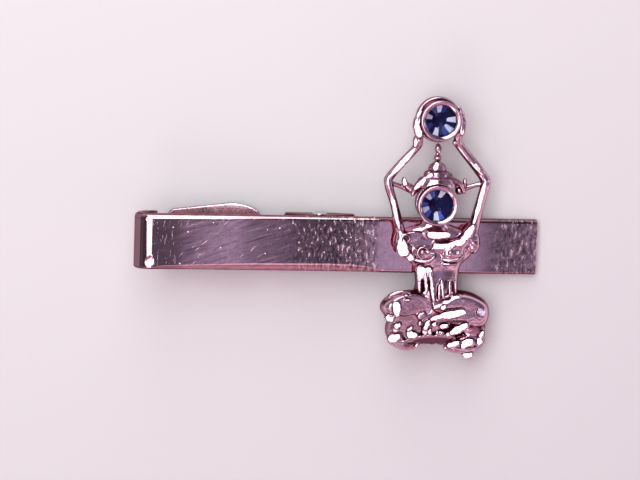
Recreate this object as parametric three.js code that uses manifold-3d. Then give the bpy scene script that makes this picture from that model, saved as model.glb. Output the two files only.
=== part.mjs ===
// Tie bar with a seated dancer: a folded bar, a sprung clip lever behind it and a cast figure
// with two set stones on its front. Millimetres.
// The origin is the centre of the bar's front face. +X runs along the bar, away from the fold,
// +Y towards the dancer's headdress, and +Z out of the front face.

import * as THREE from 'three';
import { mergeVertices } from 'three/addons/utils/BufferGeometryUtils.js';
import Module from 'manifold-3d';

// Bar
const barLength = 46.4;
const barWidth = 6.35;
const barThickness = 1.0;
const barEdgeRoundWidth = 0.65;
const barEdgeRoundDepth = 0.55;
const barBackChamfer = 0.12;
const foldRadius = 1.9;
const foldReturn = 0.8;
const faceMargin = 1.6;

// Hinge: the pin's place behind the bar, and the pin itself
const pinOffset = -1.8;
const pinDrop = 2.15;
const pinDiameter = 1.2;
const pinHeadDiameter = 1.7;
const pinHeadHeight = 0.32;
const pinHeadFlat = 0.7; // flat middle's share of the head's radius
const pinHeadShoulder = 0.15; // drops from the head's top, as shares of its height
const pinHeadEdge = 0.6;

// Bracket soldered to the bar's back
const bracketWidth = 4.8;
const bracketSheet = 0.45;
const bracketEarRadius = 1.05;
const bracketEarInset = 0.6;
const bracketEarArc = [200, 340];
const bracketReachLeft = 3.4;
const bracketReachRight = 3.0;

// Torsion spring round the pin
const wireDiameter = 0.4;
const coilRadius = 1.0;
const coilTurns = 3.5;
const coilPitch = 0.86;
const lowerLegReach = 3.5;
const upperLegReach = 3.1;

// Clip lever
const leverSheet = 0.5;
const thumbReach = 17.8;
const thumbAngle = 9.5;
const thumbTipHalfWidth = 2.75;
const thumbTipRound = 2.3;
const thumbTipFlat = 0.12; // half width of the tip's very end, as a share of the width there
const thumbWideHalfWidth = 3.87;
const thumbWideReach = 10.0;
const thumbNeckHalfWidth = 2.45;
const thumbNeckReach = 6.6;
const cheekRadius = 1.05;
const cheekArc = [30, 150];
const cheekReachLeft = 3.7;
const cheekReachRight = 4.1;
const cheekShoulder = 0.35;
const cheekEndHeight = 0.35;
const leverChamfer = 0.12;
const jawReach = 14.0;
const jawBendReach = 1.9;
const jawHalfWidth = 2.55;
const jawWallHeight = 1.0;
const jawWallEnd = 0.6;
const jawToothHeight = 0.6;
const jawToothCount = 6;
const wallToothHeight = 0.35;
const wallToothPitch = 1.8;

// Stones and their settings
const stoneDiameter = 3.96;
const stoneTableDiameter = 1.64;
const stoneCrownHeight = 0.75;
const stoneGirdleHeight = 0.15;
const stonePavilionHeight = 1.12;
const foilThickness = 0.07;
const cupWall = 0.28;
const cupFloor = 0.34;
const cupBaseRadius = 1.95;
const cupBaseChamfer = 0.12;
const cupDraft = 0.04;
const cupLip = 0.26;
const cupLipHeight = 0.22;
const cupLipRound = 0.06;
const cupLipCrest = 0.7; // how far in the lip is highest, as a share of the wall

// Dancer: its height, where it stands on the bar, and its main sizes
const figureHeight = 29.5;
const figureFromEnd = 12.1;
const headThickness = 1.2;
const headRim = 0.2;
const brimArc = [22, 156];
const brimGap = 0.45;
const brimRadius = 0.55;
const brimLevel = 1.5;
const towerDepthShare = 0.8;
const towerOffset = 0.1;
const towerLevel = 1.1;
const upperSeatThickness = 0.6;
const upperSeatLevel = 0.7;
const figureHalfWidth = 5.2;
const armRadius = 0.48;
const rightArmShare = 1.15;
const legBackLevel = -1.2;
const legTop = -5.0;
const reliefPower = 0.8; // under 1 squares the bodies' sections up

// Clearances
const runningFit = 0.06;
const fixedFit = 0.03;
const cheekClearance = 0.1;
const coilClearance = 0.2;
const wireRestGap = 0.04;
const jawRestGap = 0.15;
const foilClearance = 0.04;
const settingClearance = 0.06;

// How finely curves are divided
const foldSteps = 10;
const edgeRoundSteps = 4;
const pinSides = 16;
const arcSteps = 10;
const curlSteps = 8;
const wireSides = 5;
const leafSteps = 6;
const tipShares = [0, 0.03, 0.12, 0.3, 0.6, 1];
const stoneSides = 16;
const cupSides = 32;
const towerSides = 14;
const brimSteps = 10;
const reliefSteps = 12;
const mergeReach = 1e-5;

// A limb's rounded ends: how far past the end, and how wide, as shares of its radius
const limbEnds = [[0.5, 0.85], [0.9, 0.4]];

// Reach of the blocks that cut away everything on one side
const far = 100;

// Values that follow from the sizes above
const barLeft = -barLength / 2;
const barRight = barLength / 2;
const barBack = -barThickness;
const foldX = barLeft + foldRadius;
const figureX = barRight - figureFromEnd;
const pinX = pinOffset;
const pinZ = barBack - pinDrop;
const pinRadius = pinDiameter / 2;
const leverHalfWidth = bracketWidth / 2 + cheekClearance + leverSheet;
const coilOuterRadius = coilRadius + wireDiameter / 2;
const leverFloorTop = pinZ - Math.max(coilOuterRadius, bracketEarRadius) - coilClearance;
const leverFloorMiddle = leverFloorTop - leverSheet / 2;

// The figure's points and thicknesses are written as on a figure 29.5 mm tall, measured from its
// axis on the bar's centre line, and follow its real height.
const figureUnit = figureHeight / 29.5;
const sized = (values) => values.map((value) => value * figureUnit);
const faceCentre = sized([-0.3, 5.06]);
const upperStoneCentre = sized([-0.34, 14.72]);

const wasm = await Module();
wasm.setup();

// Numbers

function smooth(value) {
  const t = Math.min(Math.max(value, 0), 1);
  return t * t * (3 - 2 * t);
}

function mix(from, to, share) {
  return from + (to - from) * share;
}

// Solids

// Turns a closed three.js geometry into a solid that can be joined and cut.
function solid(geometry) {
  const bare = geometry.clone();
  for (const name of Object.keys(bare.attributes)) {
    if (name !== 'position') bare.deleteAttribute(name);
  }
  const merged = mergeVertices(bare, mergeReach);
  const vertProperties = new Float32Array(merged.attributes.position.array);
  const triVerts = new Uint32Array(merged.index.array);
  return new wasm.Manifold(new wasm.Mesh({ numProp: 3, vertProperties, triVerts }));
}

// Turns a solid back into a geometry for a mesh.
function geometryOf(body) {
  const mesh = body.getMesh();
  const geometry = new THREE.BufferGeometry();
  geometry.setAttribute('position', new THREE.BufferAttribute(new Float32Array(mesh.vertProperties), 3));
  geometry.setIndex(new THREE.BufferAttribute(new Uint32Array(mesh.triVerts), 1));
  geometry.computeVertexNormals();
  return geometry;
}

function union(bodies) {
  return bodies.reduce((whole, body) => whole.add(body));
}

// Skins a row of rings, each with the same number of points, and closes both ends.
function skin(rings) {
  const sides = rings[0].length;
  const positions = rings.flat().flatMap((point) => [point.x, point.y, point.z]);
  const index = [];
  for (let ring = 0; ring + 1 < rings.length; ring += 1) {
    for (let side = 0; side < sides; side += 1) {
      const next = (side + 1) % sides;
      const a = ring * sides + side;
      const b = ring * sides + next;
      const c = (ring + 1) * sides + next;
      const d = (ring + 1) * sides + side;
      index.push(a, b, c, a, c, d);
    }
  }
  const last = (rings.length - 1) * sides;
  const firstCentre = positions.length / 3;
  const lastCentre = firstCentre + 1;
  positions.push(...centreOf(rings[0]), ...centreOf(rings[rings.length - 1]));
  for (let side = 0; side < sides; side += 1) {
    const next = (side + 1) % sides;
    index.push(firstCentre, next, side);
    index.push(lastCentre, last + side, last + next);
  }
  const geometry = new THREE.BufferGeometry();
  geometry.setAttribute('position', new THREE.BufferAttribute(new Float32Array(positions), 3));
  geometry.setIndex(facingOut(positions, index));
  return geometry;
}

// Turns every triangle over if the closed skin encloses a negative volume.
function facingOut(positions, index) {
  const corner = (place) => new THREE.Vector3().fromArray(positions, 3 * index[place]);
  let volume = 0;
  for (let place = 0; place < index.length; place += 3) {
    volume += corner(place).dot(corner(place + 1).cross(corner(place + 2)));
  }
  if (volume > 0) return index;
  return index.map((vertex, place) => {
    if (place % 3 === 1) return index[place + 1];
    if (place % 3 === 2) return index[place - 1];
    return vertex;
  });
}

function centreOf(ring) {
  const sum = ring.reduce((total, point) => total.add(point), new THREE.Vector3());
  return sum.divideScalar(ring.length).toArray();
}

// A round bar of changing radius along points, with rounded ends.
function limb(points, radii, sides = 8) {
  const path = points.map((point) => new THREE.Vector3(...point));
  const rings = [];
  path.forEach((point, place) => {
    const before = path[Math.max(place - 1, 0)];
    const after = path[Math.min(place + 1, path.length - 1)];
    const along = after.clone().sub(before).normalize();
    const across = new THREE.Vector3(0, 0, 1).cross(along).normalize();
    const up = along.clone().cross(across);
    const radius = radii[place];
    const ring = (shift, scale) => {
      const centre = point.clone().addScaledVector(along, shift * radius);
      return Array.from({ length: sides }, (_, side) => {
        const angle = (side / sides) * 2 * Math.PI;
        return centre.clone()
          .addScaledVector(across, Math.cos(angle) * radius * scale)
          .addScaledVector(up, Math.sin(angle) * radius * scale);
      });
    };
    if (place === 0) rings.push(...limbEnds.map(([past, width]) => ring(-past, width)).reverse());
    rings.push(ring(0, 1));
    if (place === path.length - 1) rings.push(...limbEnds.map(([past, width]) => ring(past, width)));
  });
  return solid(skin(rings));
}

function ellipsoid(centre, radii, turn = 0, sides = 12) {
  const geometry = new THREE.SphereGeometry(1, sides, Math.round(sides * 0.7));
  geometry.scale(...radii);
  geometry.rotateZ(THREE.MathUtils.degToRad(turn));
  geometry.translate(...centre);
  return solid(geometry);
}

function box(low, high) {
  const size = high.map((value, axis) => value - low[axis]);
  const geometry = new THREE.BoxGeometry(...size);
  geometry.translate(...low.map((value, axis) => value + size[axis] / 2));
  return solid(geometry);
}

function disc(centre, radius, low, high, sides = cupSides) {
  const geometry = new THREE.CylinderGeometry(radius, radius, high - low, sides);
  geometry.rotateX(Math.PI / 2);
  geometry.translate(centre[0], centre[1], (low + high) / 2);
  return solid(geometry);
}

// A plate cut from an outline in the X-Z plane, from y = low to y = low + thickness.
function sidePlate(outline, low, thickness, hole = null) {
  const shape = new THREE.Shape(outline.map(([x, z]) => new THREE.Vector2(x, z)));
  if (hole) shape.holes.push(new THREE.Path().absarc(hole.x, hole.z, hole.radius, 0, 2 * Math.PI, true));
  const geometry = new THREE.ExtrudeGeometry(shape, {
    depth: thickness,
    bevelEnabled: false,
    curveSegments: pinSides / 2,
  });
  geometry.rotateX(Math.PI / 2);
  geometry.translate(0, low + thickness, 0);
  return solid(geometry);
}

function arc(centreX, centreZ, radius, [from, to], steps = arcSteps) {
  return Array.from({ length: steps + 1 }, (_, step) => {
    const angle = THREE.MathUtils.degToRad(mix(from, to, step / steps));
    return [centreX + radius * Math.cos(angle), centreZ + radius * Math.sin(angle)];
  });
}

// Bar: one section swept along the face, round the fold and back along the return

function barSection() {
  const half = barWidth / 2;
  const points = [];
  for (let step = 0; step <= edgeRoundSteps; step += 1) {
    const angle = (step / edgeRoundSteps) * (Math.PI / 2);
    points.push([
      half - barEdgeRoundWidth * (1 - Math.cos(angle)),
      -barEdgeRoundDepth * (1 - Math.sin(angle)),
    ]);
  }
  const frontRight = points.slice();
  const frontLeft = points.map(([y, depth]) => [-y, depth]).reverse();
  const back = [
    [-half, barBack + barBackChamfer],
    [-half + barBackChamfer, barBack],
    [half - barBackChamfer, barBack],
    [half, barBack + barBackChamfer],
  ];
  return [...frontRight, ...frontLeft, ...back];
}

function frontBar() {
  const section = barSection();
  const ringAt = (x, z, angle) => section.map(([y, depth]) => new THREE.Vector3(
    x + depth * Math.sin(angle),
    y,
    z + depth * Math.cos(angle),
  ));
  // Its faces are divided right of the jaw's tip, left of the dancer and left of the hinge,
  // so that each open stretch is a flat face of its own.
  const divisions = [
    pinX + jawReach + faceMargin,
    figureX - figureHalfWidth - faceMargin,
    pinX - bracketReachLeft - faceMargin,
  ];
  const rings = [ringAt(barRight, 0, 0)];
  divisions.forEach((x) => rings.push(ringAt(x, 0, 0)));
  for (let step = 0; step <= foldSteps; step += 1) {
    const angle = (step / foldSteps) * Math.PI;
    const x = foldX - foldRadius * Math.sin(angle);
    const z = -foldRadius + foldRadius * Math.cos(angle);
    rings.push(ringAt(x, z, -angle));
  }
  rings.push(ringAt(foldX + foldReturn, -2 * foldRadius, -Math.PI));
  return skin(rings);
}

// Bracket, pin and spring

function hingeBracket() {
  const baseLow = barBack - bracketSheet;
  const half = bracketWidth / 2;
  const base = box(
    [pinX - bracketReachLeft, -half, baseLow],
    [pinX + bracketReachRight, half, barBack],
  );
  const outline = [
    [pinX - bracketReachLeft + bracketEarInset, barBack],
    ...arc(pinX, pinZ, bracketEarRadius, bracketEarArc),
    [pinX + bracketReachRight - bracketEarInset, barBack],
  ];
  const hole = { x: pinX, z: pinZ, radius: pinRadius + fixedFit };
  const ears = [-half, half - bracketSheet].map((low) => sidePlate(outline, low, bracketSheet, hole));
  return geometryOf(union([base, ...ears]));
}

function hingePin() {
  const shank = leverHalfWidth + runningFit;
  const end = shank + pinHeadHeight;
  const head = pinHeadDiameter / 2;
  const half = [
    [pinRadius, shank],
    [head, shank],
    [head, end - pinHeadHeight * pinHeadEdge],
    [head * pinHeadFlat, end - pinHeadHeight * pinHeadShoulder],
    [0, end],
  ];
  const mirrored = half.map(([radius, along]) => [radius, -along]).reverse();
  const profile = [...mirrored, ...half].map(([radius, along]) => new THREE.Vector2(radius, along));
  const geometry = new THREE.LatheGeometry(profile, pinSides);
  geometry.translate(pinX, 0, pinZ);
  return geometryOf(solid(geometry));
}

// Centre line of the spring: lower leg, curls round the pin, upper leg.
function springPath() {
  const halfSpan = (coilTurns * coilPitch) / 2;
  const legRise = wireDiameter / 2 + wireRestGap;
  const points = [];
  const lowerEnd = new THREE.Vector3(pinX - lowerLegReach, -halfSpan, leverFloorTop + legRise);
  const bottom = new THREE.Vector3(pinX, -halfSpan, pinZ - coilRadius);
  points.push(lowerEnd, lowerEnd.clone().lerp(bottom, 0.5));
  const steps = Math.round(coilTurns * curlSteps);
  for (let step = 0; step <= steps; step += 1) {
    const angle = -Math.PI / 2 + (step / curlSteps) * 2 * Math.PI;
    points.push(new THREE.Vector3(
      pinX + coilRadius * Math.cos(angle),
      -halfSpan + (step / curlSteps) * coilPitch,
      pinZ + coilRadius * Math.sin(angle),
    ));
  }
  const top = points[points.length - 1];
  const upperEnd = new THREE.Vector3(
    pinX - upperLegReach,
    top.y,
    barBack - bracketSheet - legRise,
  );
  points.push(top.clone().lerp(upperEnd, 0.5), upperEnd);
  return points;
}

function torsionSpring() {
  const path = springPath();
  const axis = new THREE.Vector3(0, 1, 0);
  const rings = path.map((point, place) => {
    const before = path[Math.max(place - 1, 0)];
    const after = path[Math.min(place + 1, path.length - 1)];
    const along = after.clone().sub(before).normalize();
    const out = axis.clone().cross(along).normalize();
    const side = along.clone().cross(out);
    return Array.from({ length: wireSides }, (_, corner) => {
      const angle = (corner / wireSides) * 2 * Math.PI;
      return point.clone()
        .addScaledVector(out, Math.cos(angle) * wireDiameter / 2)
        .addScaledVector(side, Math.sin(angle) * wireDiameter / 2);
    });
  });
  return geometryOf(solid(skin(rings)));
}

function reportSpringGap() {
  const path = springPath();
  let least = Infinity;
  for (let first = 0; first < path.length; first += 1) {
    for (let second = first + curlSteps / 2; second < path.length; second += 1) {
      least = Math.min(least, path[first].distanceTo(path[second]) - wireDiameter);
    }
  }
  console.log(`torsion_spring: least gap between curls ${least.toFixed(3)} mm`);
}

// Clip lever: floor plate, cheeks round the pin, serrated jaw walls and the jaw's toothed tip

// Height of the floor plate's middle at a reach along the bar from the pin.
function leverFloor(reach) {
  const thumbDrop = Math.max(-reach - cheekReachLeft, 0) * Math.tan(THREE.MathUtils.degToRad(thumbAngle));
  const tipMiddle = barBack - jawRestGap - jawToothHeight - leverSheet / 2;
  const jawSlope = (tipMiddle - leverFloorMiddle) / (jawReach - jawBendReach);
  return leverFloorMiddle - thumbDrop + Math.max(reach - jawBendReach, 0) * jawSlope;
}

// Half width of the floor plate: jaw, cheeks, neck, and the leaf of the thumb plate.
function leverHalf(reach) {
  if (reach > 0) {
    return mix(leverHalfWidth, jawHalfWidth, smooth((reach - cheekReachRight) / cheekShoulder));
  }
  const neckStart = cheekReachLeft + cheekShoulder;
  if (-reach < neckStart) {
    return mix(leverHalfWidth, thumbNeckHalfWidth, smooth((-reach - cheekReachLeft) / cheekShoulder));
  }
  if (-reach < thumbNeckReach) return thumbNeckHalfWidth;
  if (-reach < thumbWideReach) {
    const toWide = Math.min((thumbWideReach + reach) / (thumbWideReach - thumbNeckReach), 1);
    return mix(thumbNeckHalfWidth, thumbWideHalfWidth, Math.sqrt(1 - toWide ** 2));
  }
  const share = (-reach - thumbWideReach) / (thumbReach - thumbWideReach);
  const taper = mix(thumbWideHalfWidth, thumbTipHalfWidth, share);
  const fromTip = Math.min((thumbReach + reach) / thumbTipRound, 1);
  return taper * Math.max(Math.sqrt(1 - (1 - fromTip) ** 2), thumbTipFlat);
}

function floorReaches() {
  const leaf = Array.from({ length: leafSteps + 1 }, (_, step) => (
    -mix(thumbWideReach, thumbNeckReach, Math.sin((step / leafSteps) * (Math.PI / 2)))
  ));
  return [
    ...tipShares.map((share) => share * thumbTipRound - thumbReach),
    ...leaf,
    -cheekReachLeft - cheekShoulder,
    -cheekReachLeft,
    jawBendReach,
    cheekReachRight,
    cheekReachRight + cheekShoulder,
    jawReach,
  ];
}

function floorPlate() {
  const rings = floorReaches().map((reach) => {
    const half = leverHalf(reach);
    const middle = leverFloor(reach);
    const thick = leverSheet / 2;
    const inner = thick - leverChamfer;
    return [
      [half, inner], [half - leverChamfer, thick],
      [-half + leverChamfer, thick], [-half, inner],
      [-half, -inner], [-half + leverChamfer, -thick],
      [half - leverChamfer, -thick], [half, -inner],
    ].map(([y, z]) => new THREE.Vector3(pinX + reach, y, middle + z));
  });
  return solid(skin(rings));
}

// Outline points that run along the inside of the floor plate, sunk into its thickness.
function alongFloor(reaches) {
  return reaches.map((reach) => [pinX + reach, leverFloor(reach)]);
}

function cheekOutline() {
  return [
    ...alongFloor([-cheekReachLeft, jawBendReach, cheekReachRight]),
    [pinX + cheekReachRight, leverFloor(cheekReachRight) + leverSheet / 2 + cheekEndHeight],
    ...arc(pinX, pinZ, cheekRadius, cheekArc),
    [pinX - cheekReachLeft, leverFloor(-cheekReachLeft) + leverSheet / 2 + cheekEndHeight],
  ];
}

// Top of the jaw's wall, kept below the bar.
function wallTop(reach) {
  const open = leverFloor(reach) + leverSheet / 2 + jawWallHeight;
  return Math.min(open, barBack - jawRestGap);
}

function jawWallOutline() {
  const wallStart = cheekReachRight - cheekShoulder;
  const wallEnd = jawReach - jawWallEnd;
  const outline = alongFloor([wallStart, wallEnd]);
  const teeth = Math.floor((wallEnd - wallStart - wallToothPitch / 2) / wallToothPitch);
  for (let tooth = 0; tooth <= teeth; tooth += 1) {
    const root = wallEnd - tooth * wallToothPitch;
    const tip = root - wallToothPitch / 2;
    outline.push([pinX + root, wallTop(root) - wallToothHeight]);
    outline.push([pinX + tip, wallTop(tip)]);
  }
  outline.push([pinX + wallStart, wallTop(wallStart) - wallToothHeight]);
  return outline;
}

// The bent-up end of the jaw, cut into a row of teeth.
function jawTip() {
  const top = barBack - jawRestGap;
  const root = top - jawToothHeight;
  const pitch = (2 * jawHalfWidth) / jawToothCount;
  const outline = [[-jawHalfWidth, root - leverSheet], [jawHalfWidth, root - leverSheet]];
  for (let tooth = 0; tooth < jawToothCount; tooth += 1) {
    const right = jawHalfWidth - tooth * pitch;
    outline.push([right, root], [right - pitch / 2, top]);
  }
  outline.push([-jawHalfWidth, root]);
  const shape = new THREE.Shape(outline.map(([y, z]) => new THREE.Vector2(y, z)));
  const geometry = new THREE.ExtrudeGeometry(shape, { depth: leverSheet, bevelEnabled: false });
  geometry.rotateX(Math.PI / 2);
  geometry.rotateZ(Math.PI / 2);
  geometry.translate(pinX + jawReach - leverSheet, 0, 0);
  return solid(geometry);
}

// Two upright plates, one at each side, whose outer faces are half a width from the middle.
function sidePair(outline, half, hole = null) {
  return [-half, half - leverSheet].map((low) => sidePlate(outline, low, leverSheet, hole));
}

function clipLever() {
  const hole = { x: pinX, z: pinZ, radius: pinRadius + runningFit };
  return geometryOf(union([
    floorPlate(),
    ...sidePair(cheekOutline(), leverHalfWidth, hole),
    ...sidePair(jawWallOutline(), jawHalfWidth),
    jawTip(),
  ]));
}

// Stones and settings, each about its own centre with z = 0 at the setting's back

const girdleRadius = stoneDiameter / 2;
const cupInnerRadius = girdleRadius + settingClearance;
const cupOuterRadius = cupInnerRadius + cupWall;
const foilSlope = stonePavilionHeight / girdleRadius;
const foilBottom = cupFloor + foilClearance;
const culetLevel = foilBottom + foilThickness + foilClearance;
const girdleLow = culetLevel + stonePavilionHeight;
const girdleHigh = girdleLow + stoneGirdleHeight;

function stoneGeometry() {
  const table = stoneTableDiameter / 2;
  const positions = [];
  const mains = stoneSides / 2;
  for (let main = 0; main < mains; main += 1) {
    const angle = ((main + 0.5) / mains) * 2 * Math.PI;
    positions.push(table * Math.cos(angle), table * Math.sin(angle), girdleHigh + stoneCrownHeight);
  }
  [girdleHigh, girdleLow].forEach((z) => {
    for (let side = 0; side < stoneSides; side += 1) {
      const angle = (side / stoneSides) * 2 * Math.PI;
      positions.push(girdleRadius * Math.cos(angle), girdleRadius * Math.sin(angle), z);
    }
  });
  positions.push(0, 0, girdleHigh + stoneCrownHeight, 0, 0, culetLevel);
  const high = (side) => mains + side % stoneSides;
  const low = (side) => mains + stoneSides + side % stoneSides;
  const tableCentre = mains + 2 * stoneSides;
  const culet = tableCentre + 1;
  const index = [];
  for (let main = 0; main < mains; main += 1) {
    const next = (main + 1) % mains;
    index.push(tableCentre, main, next);
    index.push(main, high(2 * main), high(2 * main + 1));
    index.push(main, high(2 * main + 1), high(2 * main + 2));
    index.push(main, high(2 * main + 2), next);
  }
  for (let side = 0; side < stoneSides; side += 1) {
    index.push(high(side), low(side), low(side + 1));
    index.push(high(side), low(side + 1), high(side + 1));
    index.push(culet, low(side + 1), low(side));
  }
  const geometry = new THREE.BufferGeometry();
  geometry.setAttribute('position', new THREE.BufferAttribute(new Float32Array(positions), 3));
  geometry.setIndex(index);
  geometry.computeVertexNormals();
  return geometry;
}

function lathe(profile, sides) {
  const geometry = new THREE.LatheGeometry(
    profile.map(([radius, height]) => new THREE.Vector2(radius, height)),
    sides,
  );
  geometry.rotateX(Math.PI / 2);
  return geometryOf(solid(geometry));
}

function foilGeometry() {
  const rim = girdleRadius - foilClearance;
  const top = (radius) => foilBottom + foilThickness + radius * foilSlope;
  return lathe([
    [0, foilBottom],
    [rim, top(rim) - foilThickness],
    [rim, top(rim)],
    [0, foilBottom + foilThickness],
  ], stoneSides);
}

function cupGeometry() {
  const crownSlope = stoneCrownHeight / (girdleRadius - stoneTableDiameter / 2);
  const lipRadius = cupInnerRadius - cupLip;
  const lipUnder = girdleHigh + (girdleRadius - lipRadius) * crownSlope + foilClearance;
  const lipTop = lipUnder + cupLipHeight;
  return lathe([
    [0, 0],
    [cupBaseRadius - cupBaseChamfer, 0],
    [cupBaseRadius, cupBaseChamfer],
    [cupOuterRadius - cupDraft, girdleLow],
    [cupOuterRadius, lipUnder],
    [cupOuterRadius - cupLipRound, lipTop - cupLipRound],
    [cupOuterRadius - cupWall * cupLipCrest, lipTop],
    [lipRadius + cupLipRound, lipTop - cupLipRound],
    [lipRadius, lipUnder],
    [cupInnerRadius, girdleHigh + foilClearance],
    [cupInnerRadius, cupFloor + cupInnerRadius * foilSlope],
    [0, cupFloor],
  ], cupSides);
}

// Dancer: one casting, about the figure's axis

// A flat-backed body whose half width and height change along Y.
function relief(stations) {
  const rings = stations.map(([x, y, half, height]) => (
    Array.from({ length: reliefSteps + 1 }, (_, step) => {
      const angle = (step / reliefSteps) * Math.PI;
      return new THREE.Vector3(x + half * Math.cos(angle), y, height * Math.sin(angle) ** reliefPower);
    })
  ));
  return solid(skin(rings));
}

function torso() {
  const body = relief([
    [0.2, -6.8, 1.9, 1.5],
    [0.3, -5.8, 2.7, 2.0],
    [0.35, -4.4, 2.62, 2.1],
    [0.35, -3.0, 2.55, 1.95],
    [0.3, -2.0, 2.95, 2.05],
    [0.2, -1.0, 4.1, 2.1],
    [0.15, 0.0, 4.7, 2.0],
    [0.1, 0.9, 4.3, 1.75],
    [0.0, 1.8, 3.6, 1.45],
    [-0.1, 2.5, 1.9, 1.3],
  ].map(sized));
  return [
    body,
    mass([-1.4, -0.7, 1.55], [1.35, 1.15, 1.25]),
    mass([1.85, -0.7, 1.55], [1.35, 1.15, 1.25]),
    mass([-4.1, 0.7, 0.95], [0.8, 1.3, 0.95], -6),
    mass([4.35, 0.7, 0.95], [0.85, 1.4, 0.95], 6),
  ];
}

function mass(centre, radii, turn = 0, sides = 12) {
  return ellipsoid(sized(centre), sized(radii), turn, sides);
}

function strand(points, radii, sides = 6) {
  return limb(points.map(sized), sized(radii), sides);
}

function arms() {
  const left = [
    [-4.05, 1.4, 1.0], [-4.95, 4.8, 1.0], [-5.75, 7.2, 1.0], [-5.35, 8.3, 1.0],
    [-2.75, 11.3, 1.1], [-2.3, 12.3, 1.3], [-2.55, 13.6, 1.7], [-2.7, 15.4, 2.1],
  ];
  const right = [
    [4.2, 1.8, 1.0], [5.0, 5.2, 1.0], [5.5, 7.3, 1.0], [5.1, 8.4, 1.0],
    [2.5, 11.5, 1.1], [1.95, 12.5, 1.3], [2.1, 13.8, 1.7], [2.2, 15.4, 2.1],
  ];
  const swell = [1.2, 0.95, 1.05, 1.0, 0.95, 1.0, 1.1, 0.75];
  return [
    limb(left.map(sized), swell.map((share) => share * armRadius)),
    limb(right.map(sized), swell.map((share) => share * armRadius * rightArmShare)),
  ];
}

function head() {
  const [x, y] = faceCentre;
  const back = disc([x, y], cupBaseRadius + headRim, 0, headThickness);
  const neck = mass([-0.1, 2.4, 0.7], [1.6, 1.5, 0.9]);
  const brim = arc(x, y, cupOuterRadius + brimGap, brimArc, brimSteps)
    .map(([brimX, brimY]) => [brimX, brimY, brimLevel]);
  return [back, neck, limb(brim, brim.map(() => brimRadius)), ...headdress(), ...upperSeat()];
}

function headdress() {
  const profile = [
    [0, 6.8], [2.4, 7.0], [2.35, 7.9], [1.95, 8.45], [1.7, 8.95], [0.95, 9.25], [1.3, 9.55],
    [1.1, 9.82], [0.42, 10.0], [0.6, 10.3], [0.42, 10.65], [0.26, 10.95], [0.44, 11.4],
    [0.28, 11.85], [0, 12.05],
  ].map(sized).map(([radius, height]) => new THREE.Vector2(radius, height));
  const tower = new THREE.LatheGeometry(profile, towerSides);
  tower.scale(1, 1, towerDepthShare);
  tower.translate(faceCentre[0] + towerOffset, 0, towerLevel);
  return [
    solid(tower),
    strand([[-2.9, 6.4, 1.1], [-3.5, 7.1, 1.1], [-3.95, 8.0, 1.1]], [0.5, 0.42, 0.16]),
    strand([[2.6, 6.5, 1.1], [3.1, 7.1, 1.1], [3.25, 8.0, 1.1]], [0.5, 0.42, 0.16]),
    strand([[-3.0, 6.4, 0.8], [-4.2, 6.9, 0.8], [-5.4, 7.3, 0.9]], [0.34, 0.28, 0.28]),
    strand([[2.7, 6.6, 0.8], [4.0, 7.1, 0.8], [5.3, 7.5, 0.9]], [0.34, 0.28, 0.28]),
  ];
}

function upperSeat() {
  return [
    disc(upperStoneCentre, cupBaseRadius, upperSeatLevel, upperSeatLevel + upperSeatThickness),
    strand([[-2.6, 13.2, 1.1], [-0.34, 14.12, 1.0], [2.1, 13.2, 1.1]], [0.4, 0.35, 0.4]),
  ];
}

// Sash hanging in pleats over the lap
function sash() {
  const pleats = [
    [-1.95, -3.7, -4.9], [-1.15, -3.6, -5.1], [-0.3, -3.4, -6.1],
    [0.6, -3.5, -6.0], [1.5, -3.7, -5.2], [2.25, -3.8, -5.0],
  ];
  const [middle, half, crest] = [0.15, 2.7, 2.1];
  return pleats.map(([x, top, foot]) => {
    const level = crest * (1 - ((x - middle) / half) ** 2) ** 0.4;
    return strand(
      [[x, top, level - 0.12], [x, (top + foot) / 2, level + 0.05], [x * 0.94, foot, level + 0.15]],
      [0.22, 0.3, 0.26],
    );
  });
}

function legs() {
  const whole = union([
    mass([0.2, -6.6, 0.8], [2.7, 1.6, 1.7]),
    mass([-0.4, -8.6, 0.8], [3.4, 1.5, 1.5]),
    mass([-3.0, -6.9, 0.9], [3.2, 1.8, 2.1], 8, 16),
    mass([3.2, -7.2, 0.9], [3.45, 2.25, 2.2], -4, 16),
    mass([-3.4, -10.0, 0.6], [1.95, 1.95, 1.75], 10),
    strand([[-4.8, -9.0, 1.2], [-2.6, -9.4, 1.9], [0.2, -10.1, 2.1], [3.4, -11.2, 1.2]],
      [0.8, 0.85, 0.85, 0.9], 8),
    strand([[5.4, -9.4, 1.3], [3.2, -9.7, 2.2], [0.4, -9.6, 2.4], [-2.2, -10.8, 1.7]],
      [0.75, 0.8, 0.8, 0.8], 8),
    mass([4.1, -11.1, 0.5], [2.45, 1.3, 1.5], 6),
    mass([4.5, -12.3, 0.1], [0.7, 0.6, 0.7]),
    strand([[-0.2, -8.3, 2.3], [1.6, -7.7, 2.85], [3.6, -7.3, 2.95]], [0.2, 0.32, 0.22]),
    strand([[0.3, -7.1, 2.2], [1.8, -6.5, 2.65], [3.4, -6.2, 2.7]], [0.2, 0.3, 0.2]),
    strand([[1.6, -9.0, 2.5], [3.2, -8.5, 2.8], [4.7, -8.1, 2.55]], [0.2, 0.32, 0.2]),
  ]);
  const below = box([-far, -far, -far], [far, far, legBackLevel]);
  return whole.subtract(below);
}

function dancerCasting() {
  const behindBar = box([-far, legTop, -far], [far, far, 0]);
  const upper = union([...torso(), ...arms(), ...head(), ...sash()]).subtract(behindBar);
  const settings = [
    [faceCentre, headThickness],
    [upperStoneCentre, upperSeatLevel + upperSeatThickness],
  ].map(([centre, level]) => disc(centre, cupOuterRadius + settingClearance, level, far));
  return geometryOf(upper.add(legs()).subtract(union(settings)));
}

// Scene graph

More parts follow.
